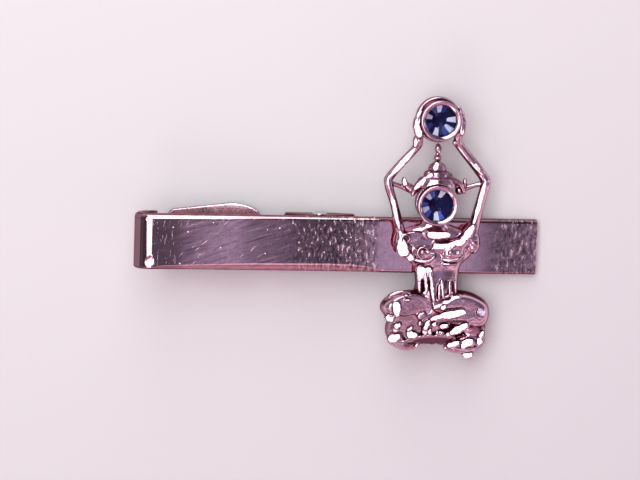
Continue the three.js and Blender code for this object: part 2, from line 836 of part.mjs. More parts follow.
const finishes = {
  plate: { color: 0xc9a27a, roughness: 0.14, metalness: 1.0 },
  cast: { color: 0xc29a78, roughness: 0.2, metalness: 1.0 },
  clip: { color: 0xb98f68, roughness: 0.25, metalness: 1.0 },
  steel: { color: 0x8e8f92, roughness: 0.3, metalness: 1.0 },
  stone: { color: 0x1d3f9c, roughness: 0.05, metalness: 0.0 },
  foil: { color: 0xd9dde2, roughness: 0.1, metalness: 1.0 },
};

function part(name, geometry, finish) {
  const mesh = new THREE.Mesh(geometry, new THREE.MeshStandardMaterial(finishes[finish]));
  mesh.name = name;
  return mesh;
}

function setting(prefix, [x, y], level) {
  const group = new THREE.Group();
  group.add(
    part(`${prefix}_stone_cup`, cupGeometry(), 'cast'),
    part(`${prefix}_stone_foil`, foilGeometry(), 'foil'),
    part(`${prefix}_stone`, stoneGeometry(), 'stone'),
  );
  group.position.set(x, y, level);
  return group;
}

function dancer() {
  const group = new THREE.Group();
  group.add(
    part('dancer_casting', dancerCasting(), 'cast'),
    setting('face', faceCentre, headThickness),
    setting('upper', upperStoneCentre, upperSeatLevel + upperSeatThickness),
  );
  group.position.x = figureX;
  return group;
}

reportSpringGap();

const tieBar = new THREE.Group();
tieBar.add(
  part('front_bar', frontBar(), 'plate'),
  part('hinge_bracket', hingeBracket(), 'clip'),
  part('hinge_pin', hingePin(), 'steel'),
  part('torsion_spring', torsionSpring(), 'steel'),
  part('clip_lever', clipLever(), 'clip'),
  dancer(),
);

export default tieBar;
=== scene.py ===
import math

import bpy
import numpy as np
from mathutils import Matrix, Vector

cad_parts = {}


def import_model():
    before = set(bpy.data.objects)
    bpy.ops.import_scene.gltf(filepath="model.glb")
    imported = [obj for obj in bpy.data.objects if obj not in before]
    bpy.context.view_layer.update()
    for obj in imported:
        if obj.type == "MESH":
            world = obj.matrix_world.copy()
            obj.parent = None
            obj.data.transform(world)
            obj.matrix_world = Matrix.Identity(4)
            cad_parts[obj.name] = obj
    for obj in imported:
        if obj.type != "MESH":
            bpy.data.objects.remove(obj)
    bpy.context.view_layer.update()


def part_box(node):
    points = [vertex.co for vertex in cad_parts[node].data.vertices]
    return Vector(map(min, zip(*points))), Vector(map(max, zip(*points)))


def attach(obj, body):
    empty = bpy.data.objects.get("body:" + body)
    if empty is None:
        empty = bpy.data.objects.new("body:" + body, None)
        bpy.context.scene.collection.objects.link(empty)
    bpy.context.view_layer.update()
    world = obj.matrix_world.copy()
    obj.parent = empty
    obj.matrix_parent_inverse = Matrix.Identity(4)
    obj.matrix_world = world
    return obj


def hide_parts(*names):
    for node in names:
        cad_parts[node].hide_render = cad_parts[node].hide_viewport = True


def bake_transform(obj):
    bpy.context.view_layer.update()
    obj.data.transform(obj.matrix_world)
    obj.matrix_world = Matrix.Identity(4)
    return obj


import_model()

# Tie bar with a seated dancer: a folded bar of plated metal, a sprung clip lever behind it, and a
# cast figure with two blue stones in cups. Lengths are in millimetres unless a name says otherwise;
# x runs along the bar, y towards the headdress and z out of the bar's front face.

MM = 0.001

# Sizes that follow the frame


def corners(node):
    """The lowest and highest corner of a CAD node, in millimetres."""
    low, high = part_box(node)
    return np.array(low) / MM, np.array(high) / MM


BAR_LOW, BAR_HIGH = corners("front_bar")
LEVER_LOW, LEVER_HIGH = corners("clip_lever")
PIN_LOW, PIN_HIGH = corners("hinge_pin")
BRACKET_LOW, BRACKET_HIGH = corners("hinge_bracket")
FACE_CUP_LOW, FACE_CUP_HIGH = corners("face_stone_cup")
UPPER_CUP_LOW, UPPER_CUP_HIGH = corners("upper_stone_cup")
CASTING_LOW, CASTING_HIGH = corners("dancer_casting")

BAR_HALF_WIDTH = (BAR_HIGH[1] - BAR_LOW[1]) / 2
FOLD_RADIUS = (BAR_HIGH[2] - BAR_LOW[2]) / 2
FOLD_X = BAR_LOW[0] + FOLD_RADIUS
PIN_X = (PIN_LOW[0] + PIN_HIGH[0]) / 2
PIN_Z = (PIN_LOW[2] + PIN_HIGH[2]) / 2
FACE_SEAT = np.array([*(FACE_CUP_LOW + FACE_CUP_HIGH)[:2] / 2, FACE_CUP_LOW[2]])
UPPER_SEAT = np.array([*(UPPER_CUP_LOW + UPPER_CUP_HIGH)[:2] / 2, UPPER_CUP_LOW[2]])
CUP_RADIUS = (FACE_CUP_HIGH[0] - FACE_CUP_LOW[0]) / 2

# Sizes of the pieces' details, the same as the solids'
BAR_THICKNESS = 1.0
EDGE_ROUND_WIDTH = 0.65
EDGE_ROUND_DEPTH = 0.55
BACK_CHAMFER = 0.12
FOLD_RETURN = 0.8
END_CHAMFER = 0.07
PIN_RADIUS = 0.6
LEVER_SHEET = 0.5
BRACKET_SHEET = 0.45
SETTING_CLEARANCE = 0.06
FIGURE_X = FACE_SEAT[0] + 0.3

# Steps of the sample grids that the cast and stamped pieces are drawn on, and their margin
CAST_STEP = 0.08
LEVER_STEP = 0.09
BRACKET_STEP = 0.07
GRID_MARGIN = 0.4
FAR = 50.0
# How far from a groove its painted shade reaches
GROOVE_REACH = 0.07

# How square the pads are, and how square the body is in width and in height
PAD_SQUARE = 2.5
BODY_WIDTH_SQUARE = 2.6
BODY_HEIGHT_SQUARE = 2.4


# Signed distance fields: a shape is its distance function and the corners of its box


class Field:
    """Signed distances on a block of sample points."""

    def __init__(self, low, high, step):
        self.low = np.array(low, float)
        self.step = step
        counts = np.ceil((np.array(high, float) - self.low) / step).astype(int) + 1
        self.axes = [self.low[a] + step * np.arange(counts[a]) for a in range(3)]
        self.values = np.full(counts, FAR, np.float32)

    def window(self, low, high):
        """The block of samples inside a box, and its coordinates."""
        place = tuple(
            slice(*np.searchsorted(self.axes[a], [low[a], high[a]])) for a in range(3)
        )
        return place, np.ix_(*[self.axes[a][place[a]] for a in range(3)])

    def join(self, shape, blend, sign=1):
        """Joins a shape, with a fillet of the size of blend. Sign -1 cuts it away."""
        distance, low, high = shape
        margin = blend + 2 * self.step
        place, grid = self.window(low - margin, high + margin)
        if self.values[place].size:
            new = distance(*grid).astype(np.float32)
            self.values[place] = sign * smooth_min(sign * self.values[place], new, blend)

    def cut(self, shape, blend):
        self.join(shape, blend, -1)

    def mesh(self):
        """The surface where the distance is nothing: points and four-cornered faces."""
        inside = self.values < 0
        cells_inside = sum(
            inside[i : i - 1 or None, j : j - 1 or None, k : k - 1 or None].astype(np.int8)
            for i in (0, 1)
            for j in (0, 1)
            for k in (0, 1)
        )
        active = (cells_inside > 0) & (cells_inside < 8)
        cells = np.argwhere(active)
        number = np.full(active.shape, -1, np.int64)
        number[active] = np.arange(len(cells))
        total = np.zeros((len(cells), 3))
        count = np.zeros(len(cells))
        offsets = [np.array((i, j, k)) for i in (0, 1) for j in (0, 1) for k in (0, 1)]
        for start in offsets:
            for axis in range(3):
                if start[axis]:
                    continue
                step = np.eye(3, dtype=int)[axis]
                a = self.values[tuple((cells + start).T)]
                b = self.values[tuple((cells + start + step).T)]
                crossed = (a < 0) != (b < 0)
                share = a[crossed] / (a[crossed] - b[crossed])
                total[crossed] += start + share[:, None] * step
                count[crossed] += 1
        points = self.low + self.step * (cells + total / count[:, None])
        return points, self.quads(inside, number)

    @staticmethod
    def quads(inside, number):
        faces = []
        for axis in range(3):
            second, third = (axis + 1) % 3, (axis + 2) % 3
            here = np.moveaxis(inside, (axis, second, third), (0, 1, 2))
            ids = np.moveaxis(number, (axis, second, third), (0, 1, 2))
            crossed = here[:-1, 1:-1, 1:-1] != here[1:, 1:-1, 1:-1]
            i, j, k = np.nonzero(crossed)
            j, k = j + 1, k + 1
            quad = np.stack([ids[i, j - 1, k - 1], ids[i, j, k - 1], ids[i, j, k], ids[i, j - 1, k]], 1)
            outward = here[i, j, k]
            quad[~outward] = quad[~outward][:, ::-1]
            faces.append(quad)
        return np.concatenate(faces)


def smooth_min(a, b, blend):
    if blend <= 0:
        return np.minimum(a, b)
    overlap = np.maximum(blend - np.abs(a - b), 0) / blend
    return np.minimum(a, b) - overlap * overlap * (blend / 4)


def rounded(a, b, soft):
    """Distance to where a and b are both under nothing, with the edge between them rounded."""
    return np.hypot(np.maximum(a, 0), np.maximum(b, 0)) + np.minimum(np.maximum(a, b), 0) - soft


def box_around(centre, reach):
    centre, reach = np.array(centre, float), np.array(reach, float)
    return centre - reach, centre + reach


def on_circle(radius, angle):
    return radius * math.cos(angle), radius * math.sin(angle)


def turned_frame(x, y, centre, turn):
    """x and y measured from a centre along axes turned by degrees."""
    c, s = on_circle(1.0, math.radians(turn))
    dx, dy = x - centre[0], y - centre[1]
    return c * dx + s * dy, c * dy - s * dx


def spline(points, steps):
    """Points on a smooth curve through the given ones, whatever their number of values."""
    given = np.array(points, float)
    padded = np.vstack([2 * given[0] - given[1], given, 2 * given[-1] - given[-2]])
    out = []
    for a, b, c, d in zip(padded, padded[1:], padded[2:], padded[3:]):
        linear, square, cube = c - a, 2 * a - 5 * b + 4 * c - d, 3 * b - a - 3 * c + d
        for t in np.arange(steps) / steps:
            out.append(0.5 * (2 * b + linear * t + square * t**2 + cube * t**3))
    out.append(given[-1])
    return np.array(out)


def rod(points, radii, steps=5):
    """A round bar of changing radius along a smooth curve."""
    radii = np.broadcast_to(np.array(radii, float), (len(points),))
    path = spline(np.column_stack([points, radii]), steps)
    centres, sizes = path[:, :3], path[:, 3]

    def distance(x, y, z):
        best = FAR
        for start, end, r0, r1 in zip(centres, centres[1:], sizes, sizes[1:]):
            along = end - start
            dx, dy, dz = x - start[0], y - start[1], z - start[2]
            t = np.clip((dx * along[0] + dy * along[1] + dz * along[2]) / (along @ along), 0, 1)
            gap = np.sqrt((dx - t * along[0]) ** 2 + (dy - t * along[1]) ** 2 + (dz - t * along[2]) ** 2)
            best = np.minimum(best, gap - (r0 + (r1 - r0) * t))
        return best

    reach = sizes.max()
    return distance, centres.min(0) - reach, centres.max(0) + reach


def ellipsoid(centre, radii, turn=0.0):
    """turn is in degrees about z."""
    def distance(x, y, z):
        along, across = turned_frame(x, y, centre, turn)
        u, v, w = along / radii[0], across / radii[1], (z - centre[2]) / radii[2]
        scaled = np.sqrt(u * u + v * v + w * w)
        slope = np.sqrt((u / radii[0]) ** 2 + (v / radii[1]) ** 2 + (w / radii[2]) ** 2)
        return scaled * (scaled - 1) / np.maximum(slope, 1e-6)

    wide = max(radii[:2])
    return (distance, *box_around(centre, (wide, wide, radii[2])))


def pad(centre, radii, lean, turn, soft, depth=0.8, above=False):
    """A flat elliptic pad whose top passes through centre. lean is how far its top faces towards +x
    and +y, and turn is about z, in degrees. above puts the pad on the other side of that plane."""
    slopes = [math.tan(math.radians(a)) for a in lean]
    length = math.sqrt(1 + slopes[0] ** 2 + slopes[1] ** 2)
    middle = depth / 2 if above else -depth / 2

    def distance(x, y, z):
        along, across = turned_frame(x, y, centre, turn)
        u, v = np.abs(along) / radii[0], np.abs(across) / radii[1]
        scaled = (u**PAD_SQUARE + v**PAD_SQUARE) ** (1 / PAD_SQUARE) + 1e-9
        slope_u = (u / scaled) ** (PAD_SQUARE - 1) / radii[0]
        slope_v = (v / scaled) ** (PAD_SQUARE - 1) / radii[1]
        angle = np.arctan2(across, along)
        uneven = 0.06 * np.sin(3 * angle + 7 * centre[0]) + 0.05 * np.sin(5 * angle + 5 * centre[1])
        side = (scaled - 1 - uneven) / np.maximum(np.hypot(slope_u, slope_v), 1 / max(radii)) + soft
        up = (z - centre[2] + slopes[0] * (x - centre[0]) + slopes[1] * (y - centre[1])) / length
        return rounded(side, np.abs(up - middle) - depth / 2 + soft, soft)

    wide = max(radii) * 1.15
    rise = wide * (abs(slopes[0]) + abs(slopes[1])) + depth * 1.2
    return (distance, *box_around(centre, (wide, wide, rise)))


def disc(centre, radius, low, high, soft=0.0):
    """A round plate about z; soft rounds its edges."""
    middle, half = (low + high) / 2, (high - low) / 2

    def distance(x, y, z):
        out = np.hypot(x - centre[0], y - centre[1]) - radius + soft
        return rounded(out, np.abs(z - middle) - half + soft, soft)

    return (distance, *box_around((*centre, middle), (radius, radius, half)))


def block(low, high):
    low, high = np.array(low, float), np.array(high, float)
    middle, half = (low + high) / 2, (high - low) / 2

    def distance(x, y, z):
        q = [np.abs(v - m) - h for v, m, h in zip((x, y, z), middle, half)]
        out = np.sqrt(sum(np.maximum(a, 0) ** 2 for a in q))
        return out + np.minimum(np.maximum(np.maximum(q[0], q[1]), q[2]), 0)

    return distance, low, high


def outline_distance(outline, u, v):
    """Signed distance in a plane to a closed outline."""
    u, v = np.broadcast_arrays(u, v)
    nearest = np.full(u.shape, FAR**2)
    inside = np.zeros(u.shape, bool)
    for (au, av), (bu, bv) in zip(outline, np.roll(outline, -1, axis=0)):
        eu, ev = bu - au, bv - av
        t = np.clip(((u - au) * eu + (v - av) * ev) / max(eu * eu + ev * ev, 1e-12), 0, 1)
        nearest = np.minimum(nearest, (u - au - t * eu) ** 2 + (v - av - t * ev) ** 2)
        if av != bv:
            inside ^= ((av > v) != (bv > v)) & (u < (bu - au) * (v - av) / (bv - av) + au)
    return np.where(inside, -1, 1) * np.sqrt(nearest)


def slab(outline, across, middle, half, soft, bend=None):
    """A plate of an outline. across is the axis it is thin along; bend gives its middle and the
    cosine of its slope along x where it isn't flat."""
    outline = np.array(outline, float)
    first, second = [a for a in range(3) if a != across]

    def distance(x, y, z):
        grid = (x, y, z)
        plan = outline_distance(outline, grid[first], grid[second]) + soft
        centre, cosine = bend(x) if bend else (middle, 1.0)
        return rounded(plan, np.abs(grid[across] - centre) * cosine - half + soft, soft)

    low, high = np.empty(3), np.empty(3)
    low[[first, second]], high[[first, second]] = outline.min(0), outline.max(0)
    centres = bend(np.array([low[0], high[0]]))[0] if bend else np.array([middle])
    low[across], high[across] = centres.min() - 2 * half, centres.max() + 2 * half
    return distance, low, high


def turned(profile, x0, z0, squash):
    """A lathe shape about an axis along y; squash is its depth in z over its width."""
    profile = np.array(profile, float)

    def distance(x, y, z):
        radius = np.hypot(x - x0, (z - z0) / squash)
        return outline_distance(profile, radius, y + 0 * radius) * squash

    reach = profile[:, 0].max()
    low, high = profile[:, 1].min(), profile[:, 1].max()
    return distance, np.array([x0 - reach, low, z0 - reach]), np.array([x0 + reach, high, z0 + reach])


def relief(stations):
    """A flat-backed body. Each station is its middle, its place along y, half width and height."""
    rows = spline(stations, 8)
    rows = rows[np.argsort(rows[:, 1])]
    p, q = BODY_WIDTH_SQUARE, BODY_HEIGHT_SQUARE

    def distance(x, y, z):
        middle, half, height = (np.interp(y, rows[:, 1], rows[:, c]) for c in (0, 2, 3))
        ends = np.maximum(rows[0, 1] - y, y - rows[-1, 1])
        u, w = np.abs(x - middle) / half, np.maximum(z, 0) / height
        slope = np.sqrt((p * u ** (p - 1) / half) ** 2 + (q * w ** (q - 1) / height) ** 2)
        side = (u**p + w**q - 1) / np.maximum(slope, 1.0)
        return np.maximum(np.maximum(side, ends), -z)

    middles, reach, top = rows[:, 0], rows[:, 2].max(), rows[:, 3].max()
    low = np.array([middles.min() - reach, rows[0, 1], 0.0])
    return distance, low, np.array([middles.max() + reach, rows[-1, 1], top])


# Meshes


def piece(name, points, faces, material, node, slot, body="bar", smooth=True, crisp=None):
    """A mesh piece that takes a CAD node's place and rides on a body, from points in millimetres.
    Edges sharper than crisp degrees stay crisp."""
    mesh = bpy.data.meshes.new(name)
    mesh.from_pydata((np.asarray(points) * MM).tolist(), [], [list(map(int, f)) for f in faces])
    mesh.validate()
    mesh.polygons.foreach_set("use_smooth", [smooth] * len(mesh.polygons))
    mesh.update()
    made = bpy.data.objects.new(name, mesh)
    bpy.context.scene.collection.objects.link(made)
    made.data.materials.append(material)
    if body:
        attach(made, body)
    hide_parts(node)
    if crisp:
        mesh.set_sharp_from_angle(angle=math.radians(crisp))
    return made


def rings_to_faces(count, sides):
    """Four-cornered faces between rings of points, and a cap on each end."""
    faces = []
    for start in range(0, (count - 1) * sides, sides):
        after = start + sides
        for side in range(sides):
            following = (side + 1) % sides
            faces.append((start + side, start + following, after + following, after + side))
    faces.append(tuple(range(sides))[::-1])
    faces.append(tuple((count - 1) * sides + s for s in range(sides)))
    return faces


def lathe(profile, sides, centre=(0, 0, 0), wobble=None):
    """A profile of radius and height turned about z. The profile starts and ends on the axis."""
    inner = profile[1:-1]
    count = len(inner)
    points, faces = [], []
    for side in range(sides):
        angle = 2 * math.pi * side / sides
        for radius, height in inner:
            shift = wobble(angle, height) if wobble else 0.0
            points.append((*on_circle(radius + shift, angle), height))
    starts = [(side * count, (side + 1) % sides * count) for side in range(sides)]
    for here, following in starts:
        for row in range(count - 1):
            faces.append((here + row, following + row, following + row + 1, here + row + 1))
    bottom, top = len(points), len(points) + 1
    points += [(0, 0, profile[0][1]), (0, 0, profile[-1][1])]
    for here, following in starts:
        faces += [(bottom, following, here), (top, here + count - 1, following + count - 1)]
    return np.array(points, float) + np.array(centre), faces


def vertex_values(mesh, name):
    values = np.empty(len(mesh.vertices) * 3)
    mesh.vertices.foreach_get(name, values)
    return values.reshape(-1, 3)


def store(made, name, domain, values):
    """Writes a value for each point or face."""
    layer = made.data.attributes.new(name, "FLOAT", domain)
    layer.data.foreach_set("value", np.array(values, np.float32))


def store_hollows(made, passes):
    """Writes how hollow (above 0.5) or proud (below 0.5) the surface is at each point, as 'hollow'."""
    mesh = made.data
    count = len(mesh.vertices)
    points, normals = vertex_values(mesh, "co"), vertex_values(mesh, "normal")
    edges = np.empty(len(mesh.edges) * 2, int)
    mesh.edges.foreach_get("vertices", edges)
    a, b = edges.reshape(-1, 2).T
    step = points[b] - points[a]
    length = np.maximum(np.linalg.norm(step, axis=1), 1e-9)
    degree = np.bincount(np.concatenate([a, b]), minlength=count).clip(1)
    rise = np.bincount(a, (step * normals[a]).sum(1) / length, count)
    rise += np.bincount(b, -(step * normals[b]).sum(1) / length, count)
    value = rise / degree
    for _ in range(passes):
        around = np.bincount(a, value[b], count) + np.bincount(b, value[a], count)
        value = 0.4 * value + 0.6 * around / degree
    store(made, "hollow", "POINT", np.clip(0.5 + 3.0 * value, 0, 1))


def store_grooves(made, points, shapes):
    """Writes painted shade where the surface lies in a groove or a shaded place, as 'groove', from
    shapes and how dark each is."""
    value = np.zeros(len(points))
    for (distance, low, high), strength in shapes:
        chosen = np.all((points > low - GROOVE_REACH) & (points < high + GROOVE_REACH), axis=1)
        if chosen.any():
            near = distance(*points[chosen].T)
            value[chosen] = np.maximum(value[chosen], strength * np.clip(1 - near / GROOVE_REACH, 0, 1))
    store(made, "groove", "POINT", value)


# Materials


class Signal:
    """An output of a node. *, + and - work as on numbers, and | gives the larger of two."""

    def __init__(self, shader, socket):
        self.shader = shader
        self.socket = socket

    def __mul__(self, other):
        return self.shader.math("MULTIPLY", self, other)

    def __add__(self, other):
        return self.shader.math("ADD", self, other)

    def __rsub__(self, other):
        return self.shader.math("SUBTRACT", other, self)

    def __or__(self, other):
        return self.shader.math("MAXIMUM", self, other)


class Shader:
    """The node tree of a material or a world, with short calls for the nodes used here."""

    def __init__(self, owner):
        owner.use_nodes = True
        self.owner = owner
        self.tree = owner.node_tree
        self.surface = self.tree.nodes.get("Principled BSDF")

    def set(self, socket, value):
        if isinstance(value, Signal):
            self.tree.links.new(value.socket, socket)
        else:
            socket.default_value = value

    def node(self, kind, settings=None, **inputs):
        """A new node. Its inputs are named as in Blender, with _ for each space."""
        made = self.tree.nodes.new(kind)
        for key, value in (settings or {}).items():
            setattr(made, key, value)
        for key, value in inputs.items():
            self.set(made.inputs[key.replace("_", " ")], value)
        return made

    def get(self, kind, output, settings=None, **inputs):
        """One output of a new node."""
        return Signal(self, self.node(kind, settings, **inputs).outputs[output])

    def place(self, stretch=1.0, turn=0.0):
        """Object coordinates in millimetres along axes turned about z by degrees, times stretch."""
        mapping = self.node(
            "ShaderNodeMapping", {"vector_type": "TEXTURE"}, Vector=self.get("ShaderNodeTexCoord", "Object")
        )
        mapping.inputs["Scale"].default_value = MM / np.broadcast_to(stretch, 3)
        mapping.inputs["Rotation"].default_value = (0, 0, math.radians(turn))
        return Signal(self, mapping.outputs["Vector"])

    def split(self, vector):
        made = self.node("ShaderNodeSeparateXYZ", Vector=vector)
        return [Signal(self, made.outputs[axis]) for axis in "XYZ"]

    def noise(self, stretch, scale, detail=2.0, roughness=0.5, turn=0.0):
        return self.get(
            "ShaderNodeTexNoise", "Fac",
            Vector=self.place(stretch, turn), Scale=scale, Detail=detail, Roughness=roughness,
        )

    def ramp(self, value, low, high, to_low=0.0, to_high=1.0, kind="SMOOTHSTEP"):
        """to_low where value is at low, to_high where it is at high, and no further."""
        return self.get(
            "ShaderNodeMapRange", "Result", {"interpolation_type": kind},
            Value=value, From_Min=low, From_Max=high, To_Min=to_low, To_Max=to_high,
        )

    def math(self, operation, a, b=0.0):
        made = self.node("ShaderNodeMath", {"operation": operation})
        self.set(made.inputs[0], a)
        self.set(made.inputs[1], b)
        return Signal(self, made.outputs[0])

    def layers(self, colour, *coats):
        """A colour with others laid over it in turn, each by its share."""
        for share, coat in coats:
            made = self.node("ShaderNodeMix", {"data_type": "RGBA"}, Factor=share)
            self.set(made.inputs[6], colour)
            self.set(made.inputs[7], coat)
            colour = Signal(self, made.outputs[2])
        return colour

    def stored(self, name):
        return self.get("ShaderNodeAttribute", "Fac", {"attribute_name": name})

    def upward(self):
        """How far the surface faces up, from -1 to 1."""
        return self.split(self.get("ShaderNodeTexCoord", "Normal"))[2]

    def bump(self, height, depth, normal=None):
        """depth is in millimetres."""
        made = self.node("ShaderNodeBump", Height=height, Strength=1.0, Distance=depth * MM)
        if normal:
            self.set(made.inputs["Normal"], normal)
        return Signal(self, made.outputs["Normal"])

    def finish(self, **inputs):
        for key, value in inputs.items():
            self.set(self.surface.inputs[key.replace("_", " ")], value)
        return self.owner


ROSE = (0.83, 0.585, 0.63, 1)
# Rose of the bar's rounded edges: partly wear, partly a painted pink reflection
ROSE_WEAR_AND_REFLECTION = (0.79, 0.49, 0.55, 1)
ROSE_DULL = (0.43, 0.33, 0.31, 1)
ROSE_STREAK = (0.34, 0.26, 0.28, 1)
ROSE_END = (0.38, 0.26, 0.27, 1)
ROSE_BLOT = (0.20, 0.12, 0.14, 1)
# Painted shade on the fold's outer part
ROSE_FOLD_SHADE = (0.17, 0.10, 0.12, 1)
# Painted red shade on faces turned sideways
ROSE_FLANK_SHADE = (0.31, 0.15, 0.20, 1)
# Painted deep shade for rims, dark lines and the steepest sides
ROSE_DEEP_SHADE = (0.18, 0.06, 0.09, 1)
# Tarnish and painted shade in hollows, grooves and a few listed places
TARNISH_AND_SHADE = (0.11, 0.027, 0.05, 1)
# Pale colour of pits and scratches, partly a painted glint
MARK_GLINT = (1.0, 0.88, 0.90, 1)
CAST = (0.81, 0.565, 0.67, 1)
CAST_WORN = (0.93, 0.75, 0.80, 1)
CAST_RED = (0.79, 0.47, 0.58, 1)
SHEET = (0.84, 0.61, 0.69, 1)
SHEET_CLOUD = (0.74, 0.50, 0.59, 1)
SHEET_END = (0.52, 0.34, 0.37, 1)
# Painted shade on the clip's steep sides
SHEET_EDGE_SHADE = (0.27, 0.21, 0.28, 1)
RIM_TINT = (0.72, 0.46, 0.54, 1)
SHEET_RIM_TINT = (0.8, 0.55, 0.5, 1)

# Places along the bar where its wear, its marks, its darker left end and its painted dark line begin and
# where they are full
MIDDLE_WEAR = (-9.5, 0.5)
MIDDLE_WEAR_STOPS = (5.0, 4.1)
END_WEAR = (17.0, 19.4)
STREAKS = (-3.0, -8.0)
STREAKS_STOP = (-19.0, -17.0)
END_LINES = (-17.0, -19.5)
DARK_END = (-17.2, -18.4)
LINE_STOPS = (-11.5, -12.5)


def scratch_layer(shader, turn, along, across, keep):
    """Thin lines at an angle: 0 off the lines, up to 1 on them."""
    return shader.ramp(shader.noise((along, across, along), 1.0, 2.0, 0.6, turn), keep, keep + 0.08)


def pit_layer(shader, size, share, limit):
    """Small round pits: 1 in a pit. size is the distance between them."""
    cells = shader.node(
        "ShaderNodeTexVoronoi", {"feature": "F1", "distance": "EUCLIDEAN"},
        Vector=shader.place(), Scale=1.0 / size,
    )
    near = shader.ramp(Signal(shader, cells.outputs["Distance"]), limit, limit * 0.45)
    cell_number = shader.get("ShaderNodeSeparateColor", "Red", Color=Signal(shader, cells.outputs["Color"]))
    return near * shader.ramp(cell_number, 1 - share, 1 - share + 0.05)


def plated_bar():
    """Polished rose-silver plate with fine scratches and pits, whose pale colour is partly a painted glint,
    and worn edges, partly tinted as a painted pink reflection. The fold's outer part, a thin line under the
    top edge and both rims carry painted shade.
    """
    shader = Shader(bpy.data.materials.new("plated_bar"))
    x, y, _ = shader.split(shader.place())
    busy = shader.ramp(x, *MIDDLE_WEAR) * shader.ramp(x, *MIDDLE_WEAR_STOPS) | shader.ramp(x, *END_WEAR)
    slanted = shader.ramp(x, *STREAKS, 0.3, 1.0) * shader.ramp(x, *STREAKS_STOP, 0.15, 1.0)
    # Painted shade on the fold's outer part, where no marks are drawn.
    bend = shader.ramp(x, FOLD_X - 0.85, FOLD_X - 1.2)

    flecks = shader.ramp(shader.noise((3.6, 2.1, 2.1), 1.0, 2.0, 0.6), 0.60, 0.68) * busy
    pits = pit_layer(shader, 0.5, 0.12, 0.22) * busy
    specks = pit_layer(shader, 0.75, 0.30, 0.14)
    upright = shader.noise((2.6, 1.0, 1.0), 1.0, 2.5, 0.55)
    pale_blots = shader.ramp(upright + busy * 0.14, 0.71, 0.80)
    dark_blots = shader.ramp(upright, 0.46, 0.38) * busy
    streaks = shader.noise((0.28, 2.6, 1.0), 1.0, 3.0, 0.6, turn=17)
    pale_streaks = shader.ramp(streaks, 0.52, 0.72) * slanted
    dark_streaks = shader.ramp(streaks, 0.48, 0.34) * slanted
    steep = scratch_layer(shader, 42, 0.3, 5.0, 0.66) * slanted
    end_lines = scratch_layer(shader, 86, 0.5, 8.0, 0.64) * shader.ramp(x, *END_LINES, 0.1, 0.7)
    scratches = pale_streaks | steep | end_lines
    # The marks are real pits, specks, flecks, blots and scratches; their pale colour is partly a painted
    # glint.
    marks = pits | specks | flecks * 0.3 | pale_blots * 0.62 | scratches * 0.26
    marks = marks * (1.0 - bend)

    blotch = shader.noise((1.5, 0.9, 1.0), 1.3, 4.0, 0.65)
    dull = shader.ramp(blotch, 0.42, 0.58) * shader.ramp(busy, 0.0, 1.0, 0.3, 1.0)
    # The rounded edges are tinted partly by wear and partly as a painted pink reflection.
    edge_start = BAR_HALF_WIDTH - EDGE_ROUND_WIDTH * 0.95
    edge = shader.ramp(shader.math("ABSOLUTE", y), edge_start, BAR_HALF_WIDTH - 0.3)
    # Painted dark shade along both rims of the bar.
    rim = shader.ramp(y, BAR_HALF_WIDTH - 0.20, BAR_HALF_WIDTH - 0.05)
    rim = rim | shader.ramp(y, 0.22 - BAR_HALF_WIDTH, 0.14 - BAR_HALF_WIDTH)
    # A thin painted dark line just under the top edge's highlight.
    line = shader.ramp(y, 2.50, 2.55) * shader.ramp(y, 2.66, 2.61) * shader.ramp(x, *LINE_STOPS)
    colour = shader.layers(
        ROSE,
        (edge * 0.8, ROSE_WEAR_AND_REFLECTION),
        (dull * 0.6, ROSE_DULL),
        (dark_streaks * 0.7, ROSE_STREAK),
        (shader.ramp(x, *DARK_END) * 0.55, ROSE_END),
        (dark_blots * 0.75, ROSE_BLOT),
        (bend * 0.8, ROSE_FOLD_SHADE),
        (line * 0.75, ROSE_DEEP_SHADE),
        (rim * 0.9, ROSE_DEEP_SHADE),
        (marks * 0.7, MARK_GLINT),
    )
    haze = shader.noise((0.35, 0.8, 0.5), 1.0, 3.0)
    rough = shader.ramp(haze, 0.3, 0.7, 0.02, 0.05) + dull * 0.035 + marks * 0.42
    normal = shader.bump(shader.noise((0.16, 0.30, 0.2), 1.0, 1.0), 0.004)
    normal = shader.bump(marks, -0.006, normal)
    return shader.finish(
        Base_Color=colour, Metallic=1.0, Roughness=rough, Specular_Tint=RIM_TINT, Normal=normal
    )


def cast_metal():
    """Bright plated casting: worn on its high points, with painted red shade on its flanks, and tarnish with
    painted shade in its creases, grooves and a few listed places.
    """
    shader = Shader(bpy.data.materials.new("cast_metal"))
    hollow = shader.stored("hollow")
    upward = shader.upward()
    cloud = shader.noise(1.0, 1.1, 3.0)
    skin = shader.noise(1.0, 4.5, 3.0, 0.6)
    # Tarnish and painted shade in the hollows, in the grooves and on a few listed places.
    stain_and_shade = shader.ramp(hollow, 0.54, 0.78) * shader.ramp(cloud, 0.25, 0.6, 0.8, 1.0)
    stain_and_shade = stain_and_shade | shader.stored("groove") * 0.92
    colour = shader.layers(
        CAST,
        (shader.ramp(hollow, 0.42, 0.22) * 0.4, CAST_WORN),
        (shader.ramp(cloud, 0.5, 0.75) * 0.35, CAST_RED),
        # Painted shade on faces turned sideways: red, then deep red on the steepest.
        (shader.ramp(upward, 0.74, 0.50) * 0.85, ROSE_FLANK_SHADE),
        (shader.ramp(upward, 0.36, 0.10) * 0.9, ROSE_DEEP_SHADE),
        (stain_and_shade, TARNISH_AND_SHADE),
    )
    rough = shader.ramp(skin, 0.3, 0.7, 0.07, 0.14) + stain_and_shade * 0.2
    normal = shader.bump(skin, 0.008, shader.bump(cloud, 0.03))
    return shader.finish(
        Base_Color=colour, Metallic=1.0, Roughness=rough, Specular_Tint=RIM_TINT, Normal=normal
    )


